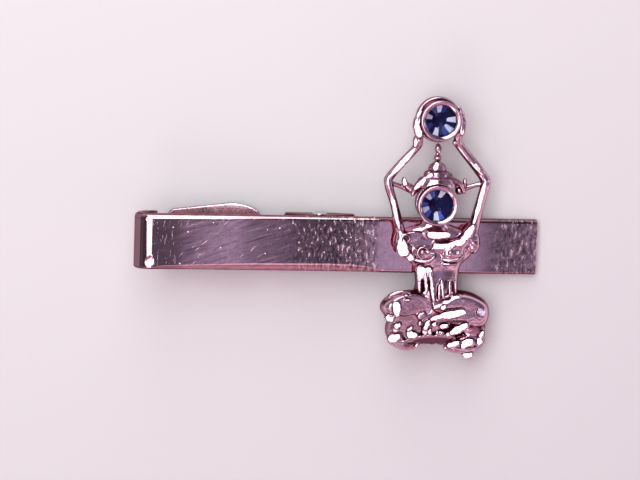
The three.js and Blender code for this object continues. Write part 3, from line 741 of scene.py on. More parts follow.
def clip_metal():
    """Rolled and stamped sheet with a brushed grain along it, darker at the thumb plate's end, with
    painted shade on its steep sides and beside the bar."""
    shader = Shader(bpy.data.materials.new("clip_metal"))
    grain = shader.noise((0.35, 12.0, 12.0), 1.0, 3.0, 0.6)
    cloud = shader.noise(0.5, 1.0, 3.0)
    x, y, _ = shader.split(shader.place())
    # Painted shade on the plate beside the bar's edge.
    beside = shader.ramp(y, 2.4, 2.7) * shader.ramp(x, -8.6, -7.6)
    colour = shader.layers(
        SHEET,
        (shader.ramp(cloud, 0.35, 0.7), SHEET_CLOUD),
        (shader.ramp(x, -14.0, -16.5, 0.0, 0.55), SHEET_END),
        # Painted shade on the steep sides.
        (shader.ramp(shader.upward(), 0.95, 0.75), SHEET_EDGE_SHADE),
        (beside * 0.85, ROSE_DEEP_SHADE),
    )
    rough = shader.ramp(grain, 0.3, 0.7, 0.16, 0.26) + shader.ramp(cloud, 0.5, 0.8, 0.0, 0.08)
    return shader.finish(
        Base_Color=colour, Metallic=1.0, Roughness=rough, Specular_Tint=SHEET_RIM_TINT,
        Normal=shader.bump(grain, 0.0015),
    )


def steel_metal():
    """Drawn steel of the pin and spring, with faint drawing lines."""
    shader = Shader(bpy.data.materials.new("drawn_steel"))
    grain = shader.noise((9.0, 2.0, 9.0), 1.0)
    return shader.finish(
        Base_Color=shader.layers((0.52, 0.50, 0.50, 1), (grain, (0.66, 0.63, 0.62, 1))),
        Metallic=1.0, Roughness=shader.ramp(grain, 0.3, 0.7, 0.2, 0.32), Normal=shader.bump(grain, 0.001),
    )


def blue_glass():
    """Almost clear glass: the stones' blue comes from the foil behind them."""
    shader = Shader(bpy.data.materials.new("blue_glass"))
    colour = shader.layers((0.84, 0.88, 1.0, 1), (shader.noise(1.0, 0.6, 1.0), (0.88, 0.91, 1.0, 1)))
    return shader.finish(Base_Color=colour, Roughness=0.0, IOR=1.2, Transmission_Weight=1.0)


def silver_foil():
    """Foil pressed behind a stone: its facets carry painted flashes of reflected light, bright where 'flash'
    is high and dark elsewhere.
    """
    shader = Shader(bpy.data.materials.new("silver_foil"))
    flash = shader.stored("flash")
    colour = shader.layers(
        (0.009, 0.008, 0.045, 1),
        (shader.ramp(flash, 0.0, 0.35), (0.08, 0.12, 0.52, 1)),
        (shader.ramp(flash, 0.35, 0.95), (1.0, 1.0, 1.0, 1)),
    )
    rough = shader.ramp(shader.noise(1.0, 3.0), 0.3, 0.7, 0.4, 0.6)
    return shader.finish(Base_Color=colour, Metallic=0.0, Roughness=rough, Specular_IOR_Level=0.0)


# Bar


# Width of the round of the bar's lower edge along the bar, as x and width
LOWER_ROUND = (
    (-21.3, 0.22), (-20.7, 0.30), (-20.2, 0.46), (-18.3, 0.54), (-14.0, 0.72), (-9.5, 0.88), (-1.0, 0.96),
    (1.6, 0.88), (3.6, 0.66), (4.6, 0.38), (5.4, 0.24), (24.0, 0.20),
)
EDGE_STEPS = 12
FOLD_STEPS = 64


def bar_section(x):
    """Points of the bar's section at x as y and depth, anticlockwise seen from its right end."""
    lower_width = np.interp(x, *np.array(LOWER_ROUND).T)
    lower_depth = EDGE_ROUND_DEPTH * min(lower_width / EDGE_ROUND_WIDTH, 1.0)
    upper, lower = [], []
    for step in range(EDGE_STEPS + 1):
        angle = step / EDGE_STEPS * math.pi / 2
        in_y, in_depth = 1 - math.cos(angle), 1 - math.sin(angle)
        upper.append((BAR_HALF_WIDTH - EDGE_ROUND_WIDTH * in_y, -EDGE_ROUND_DEPTH * in_depth))
        lower.append((-BAR_HALF_WIDTH + lower_width * in_y, -lower_depth * in_depth))
    back = -BAR_THICKNESS
    top, bottom = BAR_HALF_WIDTH - EDGE_ROUND_WIDTH, -BAR_HALF_WIDTH + lower_width
    shares = np.concatenate([np.linspace(0, 0.8, 20), np.linspace(0.8, 1, 26)[1:]])[1:-1]
    face = [(top + (bottom - top) * share, 0.0) for share in shares]
    return [
        *upper,
        *face,
        *lower[::-1],
        (-BAR_HALF_WIDTH, back + BACK_CHAMFER),
        (-BAR_HALF_WIDTH + BACK_CHAMFER, back),
        (BAR_HALF_WIDTH - BACK_CHAMFER, back),
        (BAR_HALF_WIDTH, back + BACK_CHAMFER),
    ]


# Flat worn spot at the fold's lower corner: its middle, radius and the slopes of its plane
SPOT = np.array([-21.45, -2.33])
SPOT_RADIUS = 0.42
SPOT_HEIGHT = -0.05
SPOT_SLOPES = (0.21, -0.10)
SPOT_BORDER = 0.25


def flattened(at):
    """A point of the bar, pressed onto the worn spot's plane where it is near."""
    away = np.hypot(*(at[:2] - SPOT)) / SPOT_RADIUS
    if at[2] > -EDGE_ROUND_DEPTH and away < 1 + SPOT_BORDER:
        level_there = SPOT_HEIGHT + np.dot(at[:2] - SPOT, SPOT_SLOPES)
        at[2] += (level_there - at[2]) * min((1 + SPOT_BORDER - away) / SPOT_BORDER, 1.0)
    return tuple(at)


def polished_bar(material):
    """The strip as rings of its section along the face, round the fold and back. A station is the
    ring's x and z and how far it is turned."""
    near_fold, back = FOLD_X + 1.0, -2 * FOLD_RADIUS
    stations = [(x, 0.0, 0.0) for x in np.linspace(BAR_HIGH[0] - END_CHAMFER, near_fold, 110)]
    stations += [(x, 0.0, 0.0) for x in np.linspace(near_fold, FOLD_X, 31)[1:]]
    for step in range(1, FOLD_STEPS + 1):
        angle = step / FOLD_STEPS * math.pi
        z = FOLD_RADIUS * (math.cos(angle) - 1)
        stations.append((FOLD_X - FOLD_RADIUS * math.sin(angle), z, -angle))
    stations.append((FOLD_X + FOLD_RETURN - END_CHAMFER, back, -math.pi))

    def ring(station, inset=0.0):
        x, z, angle = station
        out = []
        for y, depth in bar_section(x):
            y = y * (1 - inset / BAR_HALF_WIDTH)
            depth = min(max(depth, -BAR_THICKNESS + inset), -inset)
            out.append(flattened(np.array([x + depth * math.sin(angle), y, z + depth * math.cos(angle)])))
        return out

    rings = [ring((BAR_HIGH[0], 0.0, 0.0), END_CHAMFER)]
    rings += [ring(station) for station in stations]
    rings.append(ring((FOLD_X + FOLD_RETURN, back, -math.pi), END_CHAMFER))
    faces = rings_to_faces(len(rings), len(rings[0]))
    piece("polished_bar", sum(rings, []), faces, material, "front_bar", "plate", crisp=40)


# Clip lever, bracket, pin and spring


# Reaches are measured along the bar from the pin, and widths from its centre line
CHEEK_LEFT, CHEEK_RIGHT = 3.7, 4.1
JAW_BEND = 1.9
JAW_REACH = LEVER_HIGH[0] - PIN_X
THUMB_REACH = PIN_X - LEVER_LOW[0]
THUMB_SLOPE = math.tan(math.radians(9.5))
THUMB_NECK, THUMB_NECK_REACH = 2.45, 6.6
THUMB_WIDE, THUMB_WIDE_REACH = 3.87, 10.0
THUMB_TIP, THUMB_ROUND = 2.75, 1.4
LEAF_STEPS = 12
LEVER_HALF_WIDTH = 2.55
CHEEK_HALF_WIDTH = 3.0
CHEEK_SHOULDER = 0.35
EAR_RADIUS = 1.05
EAR_POINTS = 15
EAR_FOOT = 0.6
WALL_END = 0.6
WALL_HEIGHT = 1.0
WALL_TEETH, WALL_PITCH, WALL_NOTCH = 5, 1.8, 0.35
TIP_TEETH, TIP_NOTCH = 6, 0.6
REST_GAP = 0.15
PIN_HEAD = 0.32
LEVER_HOLE = PIN_RADIUS + 0.06
BRACKET_HOLE = PIN_RADIUS + 0.03
COIL_RADIUS, COIL_TURNS, COIL_PITCH, COIL_STEPS = 1.0, 3.5, 0.86, 24
COIL_OUTSIDE, COIL_ROOM = 1.2, 0.2
WIRE_RADIUS, WIRE_SIDES, WIRE_LIFT = 0.2, 12, 0.04

JAW_CEILING = -BAR_THICKNESS - REST_GAP
FLOOR_MIDDLE = PIN_Z - COIL_OUTSIDE - COIL_ROOM - LEVER_SHEET / 2
TIP_MIDDLE = JAW_CEILING - TIP_NOTCH - LEVER_SHEET / 2
JAW_SLOPE = (TIP_MIDDLE - FLOOR_MIDDLE) / (JAW_REACH - JAW_BEND)


def floor_level(x):
    """Middle of the lever's floor at x, and the cosine of its slope there."""
    reach = x - PIN_X
    thumb, jaw = np.maximum(-reach - CHEEK_LEFT, 0), np.maximum(reach - JAW_BEND, 0)
    slope = np.where(thumb > 0, THUMB_SLOPE, np.where(jaw > 0, JAW_SLOPE, 0.0))
    return FLOOR_MIDDLE - thumb * THUMB_SLOPE + jaw * JAW_SLOPE, 1 / np.sqrt(1 + slope**2)


def level(reach):
    """Height of the lever's floor at a reach."""
    return float(floor_level(np.array(PIN_X + reach))[0])


def lever_plan():
    """Half outline of the floor as reach and half width, then mirrored."""
    half = [
        (JAW_REACH, LEVER_HALF_WIDTH), (CHEEK_RIGHT + CHEEK_SHOULDER, LEVER_HALF_WIDTH),
        (CHEEK_RIGHT, CHEEK_HALF_WIDTH), (-CHEEK_LEFT, CHEEK_HALF_WIDTH),
        (-CHEEK_LEFT - CHEEK_SHOULDER, THUMB_NECK),
    ]
    for step in range(LEAF_STEPS + 1):
        angle = step / LEAF_STEPS * math.pi / 2
        reach = THUMB_WIDE_REACH - (THUMB_WIDE_REACH - THUMB_NECK_REACH) * math.cos(angle)
        half.append((-reach, THUMB_NECK + (THUMB_WIDE - THUMB_NECK) * math.sin(angle)))
    for step in range(LEAF_STEPS + 1):
        angle = step / LEAF_STEPS * math.pi / 2
        reach = THUMB_REACH - THUMB_ROUND * (1 - math.sin(angle))
        taper = (reach - THUMB_WIDE_REACH) / (THUMB_REACH - THUMB_WIDE_REACH)
        width = THUMB_WIDE + (THUMB_TIP - THUMB_WIDE) * taper
        half.append((-reach, width * math.cos(angle)))
    upper = [(PIN_X + reach, width) for reach, width in half]
    return upper + [(x, -y) for x, y in reversed(upper[:-1])]


def arc(start, end):
    """Points round the pin, between two angles in degrees."""
    angles = np.radians(np.linspace(start, end, EAR_POINTS))
    return [(PIN_X + EAR_RADIUS * math.cos(a), PIN_Z + EAR_RADIUS * math.sin(a)) for a in angles]


def floor_top(reach):
    return level(reach) + LEVER_SHEET / 2


def wall_top(reach):
    return min(floor_top(reach) + WALL_HEIGHT, JAW_CEILING)


def cheek_outline():
    """Side view of a cheek beside the pin."""
    left, right = PIN_X - CHEEK_LEFT, PIN_X + CHEEK_RIGHT
    return [
        (left, level(-CHEEK_LEFT)), (right, level(CHEEK_RIGHT)),
        (right, floor_top(CHEEK_RIGHT) + CHEEK_SHOULDER), *arc(30, 150),
        (left, floor_top(-CHEEK_LEFT) + CHEEK_SHOULDER),
    ]


def wall_outline():
    """Side view of one of the jaw's side walls, with its row of teeth."""
    start, end = CHEEK_RIGHT - CHEEK_SHOULDER, JAW_REACH - WALL_END
    wall = [(PIN_X + start, level(CHEEK_RIGHT)), (PIN_X + end, level(end))]
    for tooth in range(WALL_TEETH):
        root = end - tooth * WALL_PITCH
        tip = root - WALL_PITCH / 2
        wall += [(PIN_X + root, wall_top(root) - WALL_NOTCH), (PIN_X + tip, wall_top(tip))]
    return wall + [(PIN_X + start, wall_top(start) - WALL_NOTCH)]


def tip_outline():
    """End view of the jaw's tip, with its row of teeth."""
    half, roots, pitch = LEVER_HALF_WIDTH, JAW_CEILING - TIP_NOTCH, 2 * LEVER_HALF_WIDTH / TIP_TEETH
    tip = [(-half, roots - LEVER_SHEET), (half, roots - LEVER_SHEET)]
    for tooth in range(TIP_TEETH):
        right = half - tooth * pitch
        tip += [(right, roots), (right - pitch / 2, JAW_CEILING)]
    return tip + [(-half, roots)]


def pin_hole(radius, half):
    def distance(x, y, z):
        return np.maximum(np.hypot(x - PIN_X, z - PIN_Z) - radius, np.abs(y) - half)

    return (distance, *box_around((PIN_X, 0, PIN_Z), (radius, half, radius)))


def stamped_lever(material):
    """Floor with thumb plate, cheeks, toothed side walls and toothed tip, with the pin's hole."""
    field = Field(LEVER_LOW - GRID_MARGIN, LEVER_HIGH + GRID_MARGIN, LEVER_STEP)
    half = LEVER_SHEET / 2
    field.join(slab(lever_plan(), 2, 0, half, 0.04, bend=floor_level), 0.0)
    for side in (-1, 1):
        field.join(slab(cheek_outline(), 1, side * (CHEEK_HALF_WIDTH - half), half, 0.1), 0.1)
        field.join(slab(wall_outline(), 1, side * (LEVER_HALF_WIDTH - half), half, 0.06), 0.08)
    field.join(slab(tip_outline(), 0, PIN_X + JAW_REACH - half, half, 0.05), 0.06)
    field.cut(pin_hole(LEVER_HOLE, CHEEK_HALF_WIDTH + 0.4), 0.03)
    piece("stamped_lever", *field.mesh(), material, "clip_lever", "clip", "lever")


def folded_bracket(material):
    """Base on the bar's back with an ear on each side for the pin."""
    field = Field(BRACKET_LOW - GRID_MARGIN, BRACKET_HIGH + GRID_MARGIN, BRACKET_STEP)
    half, thin = (BRACKET_HIGH[1] - BRACKET_LOW[1]) / 2, BRACKET_SHEET / 2
    left, right, back = BRACKET_LOW[0], BRACKET_HIGH[0], -BAR_THICKNESS
    base = [(left, -half), (right, -half), (right, half), (left, half)]
    ear = [(left + EAR_FOOT, back), *arc(200, 340), (right - EAR_FOOT, back)]
    field.join(slab(base, 2, back - thin, thin, 0.06), 0.0)
    for side in (-1, 1):
        field.join(slab(ear, 1, side * (half - thin), thin, 0.08), 0.08)
    field.cut(pin_hole(BRACKET_HOLE, half + 0.3), 0.02)
    piece("folded_bracket", *field.mesh(), material, "hinge_bracket", "clip")


def riveted_pin(material):
    """A shank with a domed head on each end."""
    half, head = PIN_HIGH[1], (PIN_HIGH[2] - PIN_LOW[2]) / 2
    shank = half - PIN_HEAD
    angles = np.linspace(0.0, math.pi / 2, 8)[1:]
    dome = [(head * math.sin(a), half - PIN_HEAD * (1 - math.cos(a)) * 0.9) for a in angles]
    side = [(0.0, half), *dome, (head, shank), (PIN_RADIUS, shank)]
    points, faces = lathe([(r, -h) for r, h in side] + side[::-1], 48)
    points = np.column_stack([points[:, 0] + PIN_X, points[:, 2], PIN_Z - points[:, 1]])
    piece("riveted_pin", points, faces, material, "hinge_pin", "steel", crisp=40)


def spring_path(span):
    """Middle line of the spring's wire: a leg on the lever's floor, the coil and a leg on the bracket."""
    rise = WIRE_RADIUS + WIRE_LIFT
    path = spline([
        (PIN_X - 3.5, -span, FLOOR_MIDDLE + LEVER_SHEET / 2 + rise),
        (PIN_X - 1.7, -span, PIN_Z - COIL_RADIUS - 0.03),
    ], 8).tolist()
    for step in range(round(COIL_TURNS * COIL_STEPS) + 1):
        x, z = on_circle(COIL_RADIUS, -math.pi / 2 + step / COIL_STEPS * 2 * math.pi)
        path.append([PIN_X + x, -span + step / COIL_STEPS * COIL_PITCH, PIN_Z + z])
    top = -BAR_THICKNESS - BRACKET_SHEET - rise
    path += spline([
        (PIN_X - 1.4, span, (top + PIN_Z + COIL_RADIUS) / 2), (PIN_X - 3.1, span, top),
    ], 8).tolist()
    return np.array(path)


def coiled_spring(material):
    """A round wire along the spring's path."""
    span = COIL_TURNS * COIL_PITCH / 2
    path = spring_path(span)
    points = []
    for place, point in enumerate(path):
        before, after = path[max(place - 1, 0)], path[min(place + 1, len(path) - 1)]
        along = (after - before) / np.linalg.norm(after - before)
        out = np.cross((0, 1, 0), along)
        out /= np.linalg.norm(out)
        side = np.cross(along, out)
        for corner in range(WIRE_SIDES):
            c, s = on_circle(1.0, 2 * math.pi * corner / WIRE_SIDES)
            points.append(point + WIRE_RADIUS * (c * out + s * side))
    faces = rings_to_faces(len(path), WIRE_SIDES)
    made = piece("coiled_spring", points, faces, material, "torsion_spring", "steel", None, crisp=50)
    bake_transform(made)


# Stones and settings


STONE_RADIUS = 1.98
TABLE_RADIUS = 0.82
CROWN = 0.75
GIRDLE = 0.15
PAVILION = 1.12
FOIL = 0.07
FLASH_INNER = 0.78
FLASH_OUTER = 1.72
CUP_FLOOR = 0.34
GAP = 0.04
CULET = CUP_FLOOR + GAP + FOIL + GAP
GIRDLE_LOW = CULET + PAVILION
GIRDLE_HIGH = GIRDLE_LOW + GIRDLE
CUP_LIP_TOP = 2.15
LIP_WIDTH = 0.26
MAINS = 8
CUP_SIDES = 96
FOIL_DARK = 0.04


def turn_about_z(points, degrees):
    c, s = on_circle(1.0, math.radians(degrees))
    x, y, z = points.T
    return np.column_stack([c * x - s * y, s * x + c * y, z])


def cut_stone(name, seat, turn, material):
    """A round stone with eight main facets: table, crown, girdle and pavilion."""
    points = []
    for at in range(MAINS):
        points.append((*on_circle(TABLE_RADIUS, (at + 0.5) / MAINS * 2 * math.pi), GIRDLE_HIGH + CROWN))
    for z in (GIRDLE_HIGH, GIRDLE_LOW):
        points += [(*on_circle(STONE_RADIUS, at / MAINS * math.pi), z) for at in range(2 * MAINS)]
    culet = len(points)
    points.append((0, 0, CULET))

    def high(at):
        return MAINS + at % (2 * MAINS)

    def low(at):
        return 3 * MAINS + at % (2 * MAINS)

    faces = [tuple(range(MAINS))]
    for at in range(MAINS):
        faces += [
            (at, high(2 * at), high(2 * at + 1)),
            (at, high(2 * at + 1), high(2 * at + 2)),
            (at, high(2 * at + 2), (at + 1) % MAINS),
            (culet, low(2 * at + 1), low(2 * at)),
            (culet, low(2 * at + 2), low(2 * at + 1)),
        ]
    faces += [(high(at), low(at), low(at + 1), high(at + 1)) for at in range(2 * MAINS)]
    points = turn_about_z(np.array(points, float), turn) + seat
    piece(f"{name}_stone_cut", points, faces, material, f"{name}_stone", "stone", smooth=False)


def foil_back(name, seat, turn, flashes, material):
    """A dished foil under a stone, its bright facets painted flashes of reflected light. flashes are
    the angles of those facets, in degrees from +x, each with its brightness; they are written for
    each facet as 'flash'."""
    rim = STONE_RADIUS - GAP
    slope = PAVILION / STONE_RADIUS
    bottom = CUP_FLOOR + GAP
    profile = [(0, bottom), (rim, bottom + rim * slope)]
    profile += [(radius, bottom + FOIL + radius * slope) for radius in (rim, FLASH_OUTER, FLASH_INNER, 0)]
    points, faces = lathe(profile, 2 * MAINS)
    points = turn_about_z(points, turn) + seat
    made = piece(f"{name}_foil_back", points, faces, material, f"{name}_stone_foil", "foil", smooth=False)

    facet = 180 / MAINS
    values = []
    for polygon in made.data.polygons:
        x, y = polygon.center.x / MM - seat[0], polygon.center.y / MM - seat[1]
        number = math.floor((math.degrees(math.atan2(y, x)) - turn) / facet) % (2 * MAINS)
        values.append(FOIL_DARK)
        for flash, brightness in flashes:
            facing = number == math.floor((flash - turn) / facet) % (2 * MAINS)
            if facing and FLASH_INNER < math.hypot(x, y) < FLASH_OUTER:
                values[-1] = brightness
    store(made, "flash", "FACE", values)


def burnished_cup(name, seat, turn, material):
    """The setting, whose lip is pressed a little unevenly over the stone's edge."""
    inner, outer = STONE_RADIUS + SETTING_CLEARANCE, CUP_RADIUS
    slope = PAVILION / STONE_RADIUS
    crown_slope = CROWN / (STONE_RADIUS - TABLE_RADIUS)
    lip_inner, top = inner - LIP_WIDTH, CUP_LIP_TOP
    lip_under = GIRDLE_HIGH + (STONE_RADIUS - lip_inner) * crown_slope + GAP
    lip = [
        (outer - 0.01, lip_under - 0.5), (outer, lip_under - 0.1), (outer - 0.015, lip_under + 0.05),
        (outer - 0.05, top - 0.07), (outer - 0.11, top - 0.015), (outer - 0.19, top),
        (outer - 0.28, top - 0.03), (lip_inner + 0.13, top - 0.09),
        (lip_inner + 0.04, lip_under + 0.07), (lip_inner, lip_under + 0.03), (lip_inner + 0.02, lip_under),
    ]
    foot = [
        (0, 0), (1.75, 0), (1.88, 0.03), (1.95, 0.12), (outer - 0.12, GIRDLE_LOW * 0.7),
        (outer - 0.04, GIRDLE_LOW),
    ]
    hollow = [
        (inner, GIRDLE_HIGH + GAP), (inner, CUP_FLOOR + inner * slope), (0.01, CUP_FLOOR + 0.01),
        (0, CUP_FLOOR),
    ]

    def burnish(angle, height):
        share = max(0.0, (height - lip_under) / (top - lip_under))
        uneven = math.sin(5 * angle + turn) + 0.6 * math.sin(9 * angle + 2.1)
        return 0.014 * min(share, 1.0) * uneven

    points, faces = lathe(foot + lip + hollow, CUP_SIDES, seat, burnish)
    made = piece(f"{name}_cup_burnished", points, faces, material, f"{name}_stone_cup", "cast", crisp=55)
    store_hollows(made, 3)


def set_stone(name, seat, turn, flashes, glass, foil, metal):
    cut_stone(name, seat, turn, glass)
    foil_back(name, seat, turn, flashes, foil)
    burnished_cup(name, seat, turn, metal)


# Dancer: drawn from the figure's axis, at x = FIGURE_X on the bar's centre line


def moved(shape):
    """Moves a shape from the figure's own x to the bar's."""
    distance, low, high = shape
    shift = np.array([FIGURE_X, 0, 0])
    return (lambda x, y, z: distance(x - FIGURE_X, y, z)), low + shift, high + shift


def blended_rods(listed):
    return [(rod(path, radii), blend) for path, radii, blend in listed]


def torso_shapes():
    """The body, chest and shoulders, with a scarf across them."""
    body = relief([
        (0.2, -6.8, 1.9, 1.5), (0.3, -5.8, 2.6, 2.0), (0.45, -4.4, 2.5, 2.1), (0.4, -3.0, 2.6, 1.95),
        (0.3, -2.0, 2.95, 1.95), (0.2, -1.0, 4.1, 1.95), (0.15, 0.0, 4.7, 1.8), (0.1, 0.9, 4.3, 1.6),
        (0.0, 1.8, 3.6, 1.4), (-0.1, 2.5, 1.9, 1.3),
    ])
    shapes = [
        (body, 0.1),
        (ellipsoid((-1.4, -0.7, 1.4), (1.3, 1.0, 0.95)), 0.35),
        (ellipsoid((1.9, -0.7, 1.4), (1.35, 1.0, 0.95)), 0.35),
        (ellipsoid((-4.1, 0.7, 0.95), (0.8, 1.3, 0.95), -6), 0.3),
        (ellipsoid((4.35, 0.7, 0.95), (0.85, 1.4, 0.9), 6), 0.3),
        (ellipsoid((-3.6, -0.1, 1.2), (0.7, 1.2, 0.75), 28), 0.25),
        (pad((-2.0, 0.85, 1.6), (1.7, 0.95), (0, 0), -10, 0.12), 0.1),
        (ellipsoid((0.03, 1.6, 1.4), (1.7, 0.72, 0.6)), 0.05),
    ]
    rods = [
        ([(4.4, 2.4, 0.9), (3.5, 1.2, 1.2), (2.3, 0.3, 1.35), (0.9, 0.05, 1.4), (-0.5, 0.15, 1.35)],
         [0.5, 0.75, 0.85, 0.75, 0.5], 0.3),
        ([(-2.65, -1.35, 1.95), (-1.45, -1.52, 2.2), (-0.7, -1.35, 2.2), (-0.16, -0.9, 2.05)],
         [0.15, 0.19, 0.18, 0.14], 0.05),
        ([(0.75, -1.25, 2.1), (1.6, -1.38, 2.25), (2.4, -1.25, 2.2), (3.15, -0.8, 1.85)],
         [0.14, 0.18, 0.17, 0.14], 0.05),
        ([(0.85, -1.78, 2.0), (1.65, -1.82, 2.08), (2.45, -1.72, 1.98)], [0.15, 0.19, 0.15], 0.05),
    ]
    return shapes + blended_rods(rods)


# Planes that cut the chest, the thighs and the feet flat: a point, half sizes, lean, turn and the
# softness of the border
TORSO_PLANES = [
    ((-2.0, 0.85, 1.6), (1.8, 0.98), (0, 0), -10, 0.12), ((2.1, 1.9, 1.35), (1.2, 0.75), (2, 0), 25, 0.2),
]
LEG_PLANES = [
    ((-3.1, -6.6, 2.1), (3.0, 1.5), (2, 0), 8, 0.08), ((3.4, -7.5, 2.32), (3.3, 2.1), (3, 0), -4, 0.08),
    ((-3.5, -9.2, 1.75), (2.2, 1.5), (2, -1), 6, 0.08), ((-0.6, -8.7, 2.05), (2.2, 1.6), (0, 0), 0, 0.08),
    ((4.2, -11.0, 1.55), (2.3, 1.1), (2, 0), 6, 0.08),
]
# Worn flat spots: the top's middle, half sizes, lean, turn, softness of the edge and of the foot
TORSO_PADS = [
    ((3.4, 1.55, 2.3), (1.5, 0.5), (-10.5, 7.5), 56, 0.16, 0.1),
    ((2.1, 0.5, 2.2), (1.25, 0.46), (-10.5, 7.5), 26, 0.16, 0.1),
    ((1.2, 0.12, 2.12), (0.9, 0.36), (-10, 8), 8, 0.14, 0.08),
    ((0.3, 0.0, 2.02), (0.6, 0.17), (-8, 8), 0, 0.12, 0.1),
    ((0.08, 1.5, 2.12), (1.4, 0.47), (-9.5, 6), 2, 0.14, 0.05),
    ((-3.95, -0.02, 2.0), (0.66, 1.1), (-12, 6), 12, 0.12, 0.1),
    ((-3.1, -1.0, 2.02), (0.42, 0.62), (-12, 6), 40, 0.12, 0.1),
    ((-1.7, -2.85, 2.08), (0.55, 0.95), (-15, 3), 0, 0.12, 0.1),
    ((-0.78, -2.8, 2.28), (0.38, 0.8), (-13, 3), 6, 0.12, 0.1),
    ((-2.0, 0.28, 1.62), (1.3, 0.08), (-4, 12), -8, 0.06, 0.05),
]
TORSO_GROOVES = [
    ([(-1.75, 1.15, 1.75), (-0.9, 0.82, 1.85), (0.1, 0.68, 1.95), (1.1, 0.85, 1.85), (1.8, 1.25, 1.75)],
     0.12),
    ([(-2.5, -2.0, 2.1), (-1.2, -2.05, 2.3), (-0.1, -2.0, 2.3)], 0.15),
    ([(-0.3, -0.7, 2.35), (0.2, -1.3, 2.4), (0.3, -2.0, 2.3)], 0.14),
    ([(-3.45, 1.0, 1.95), (-3.42, 1.25, 2.0)], 0.2),
    ([(4.5, 0.75, 1.75), (4.62, 0.62, 1.75)], 0.13),
    ([(0.85, -1.56, 2.18), (1.65, -1.62, 2.3), (2.5, -1.5, 2.15)], 0.07),
    ([(0.3, -2.65, 2.3), (0.32, -3.0, 2.28)], 0.12),
]
HOOPS = [((-1.62, -0.5, 2.2), 0.62, 0.13), ((-3.62, 1.05, 1.72), 0.44, 0.16)]
BEADS = [
    ((-1.75, -0.42, 2.35), 0.25), ((0.75, -0.6, 2.2), 0.2), ((1.5, -0.42, 2.32), 0.22),
    ((2.5, -0.45, 2.2), 0.2), ((4.72, 0.12, 1.4), 0.22),
]


def hoop(centre, radius, thickness):
    """A round ring lying flat."""
    def distance(x, y, z):
        out = np.hypot(x - centre[0], y - centre[1]) - radius
        return np.hypot(out, z - centre[2]) - thickness

    reach = radius + thickness
    return (distance, *box_around(centre, (reach, reach, thickness)))


def pads(listed):
    return [(pad(c, r, lean, turn, soft), blend) for c, r, lean, turn, soft, blend in listed]


def planes(listed):
    return [(pad(c, r, lean, turn, 0.1, 1.5, above=True), blend) for c, r, lean, turn, blend in listed]


def grooves(listed, blend):
    return [(rod(path, radius, 2), blend) for path, radius in listed]


def bead_shapes():
    shapes = [(hoop(centre, radius, thickness), 0.05) for centre, radius, thickness in HOOPS]
    return shapes + [(ellipsoid(centre, (size, size * 1.2, size)), 0.05) for centre, size in BEADS]


def arm_shapes():
    """The raised arms with their hands and fingers."""
    left = [
        (-4.05, 1.4, 1.0), (-4.95, 4.8, 1.0), (-5.72, 7.2, 1.0), (-5.4, 8.3, 1.0),
        (-2.8, 11.3, 1.1), (-2.4, 12.1, 1.4), (-2.6, 13.2, 1.7),
    ]
    right = [
        (4.2, 1.8, 1.0), (5.0, 5.2, 1.0), (5.5, 7.3, 1.0), (5.1, 8.4, 1.0),
        (2.5, 11.5, 1.1), (2.0, 12.3, 1.4), (2.15, 13.4, 1.6),
    ]
    swell = np.array([1.25, 0.95, 1.05, 1.0, 0.95, 0.85, 0.9])
    shapes = [(rod(left, swell * 0.48, 4), 0.2), (rod(right, swell * 0.55, 4), 0.2)]
    shapes += [
        (ellipsoid((-2.78, 13.9, 2.0), (0.52, 1.2, 0.75), 8), 0.15),
        (ellipsoid((2.25, 13.9, 1.75), (0.46, 1.25, 0.65), -8), 0.15),
        (ellipsoid((1.62, 12.15, 1.75), (0.3, 0.34, 0.3)), 0.06),
    ]
    fingers = [
        ([(-2.95, 14.5, 2.1), (-2.85, 15.3, 2.35), (-2.42, 16.25, 2.4)], [0.36, 0.28, 0.2]),
        ([(-2.75, 14.2, 2.5), (-2.62, 14.9, 2.6), (-2.45, 15.6, 2.6)], [0.26, 0.24, 0.18]),
        ([(-2.5, 12.7, 2.0), (-2.3, 13.1, 2.4), (-2.2, 13.5, 2.6)], [0.24, 0.22, 0.18]),
        ([(2.4, 14.5, 1.8), (2.3, 15.3, 2.1), (1.8, 16.25, 2.3)], [0.32, 0.26, 0.18]),
        ([(2.15, 14.2, 2.2), (2.1, 14.9, 2.4), (1.9, 15.6, 2.45)], [0.22, 0.2, 0.16]),
    ]
    return shapes + [(rod(path, radii), 0.06) for path, radii in fingers]


ARM_PADS = [
    ((-4.2, 9.75, 1.52), (2.05, 0.36), (-10, 8), 49.5, 0.08, 0.08),
    ((-5.0, 4.6, 1.53), (0.3, 2.8), (-12, 1), 14, 0.08, 0.08),
    ((3.85, 9.95, 1.57), (1.85, 0.35), (-7, 6), -50, 0.08, 0.08),
    ((4.8, 4.9, 1.6), (0.32, 2.8), (-12, 1), -12, 0.08, 0.08),
    ((-2.85, 12.2, 1.75), (0.26, 0.7), (-12, 3), -8, 0.1, 0.1),
]
HEAD_PADS = [
    ((-2.85, 13.8, 2.78), (0.48, 1.15), (-12, 5), 8, 0.14, 0.1),
    ((2.35, 13.9, 2.42), (0.34, 0.95), (-9, 4), -6, 0.14, 0.1),
    ((-2.38, 7.3, 2.24), (0.85, 0.3), (-11, 8), 46, 0.1, 0.08),
    ((-1.15, 8.38, 2.2), (0.45, 0.26), (-11, 8), 18, 0.1, 0.08),
    ((-0.5, 9.4, 2.25), (0.36, 0.55), (-11, 6), -18, 0.12, 0.06),
    ((-3.95, 7.5, 1.78), (0.3, 0.48), (-9, 6), 10, 0.1, 0.06),
    ((-0.05, 11.3, 1.62), (0.24, 0.4), (-9, 6), 0, 0.1, 0.06),
]


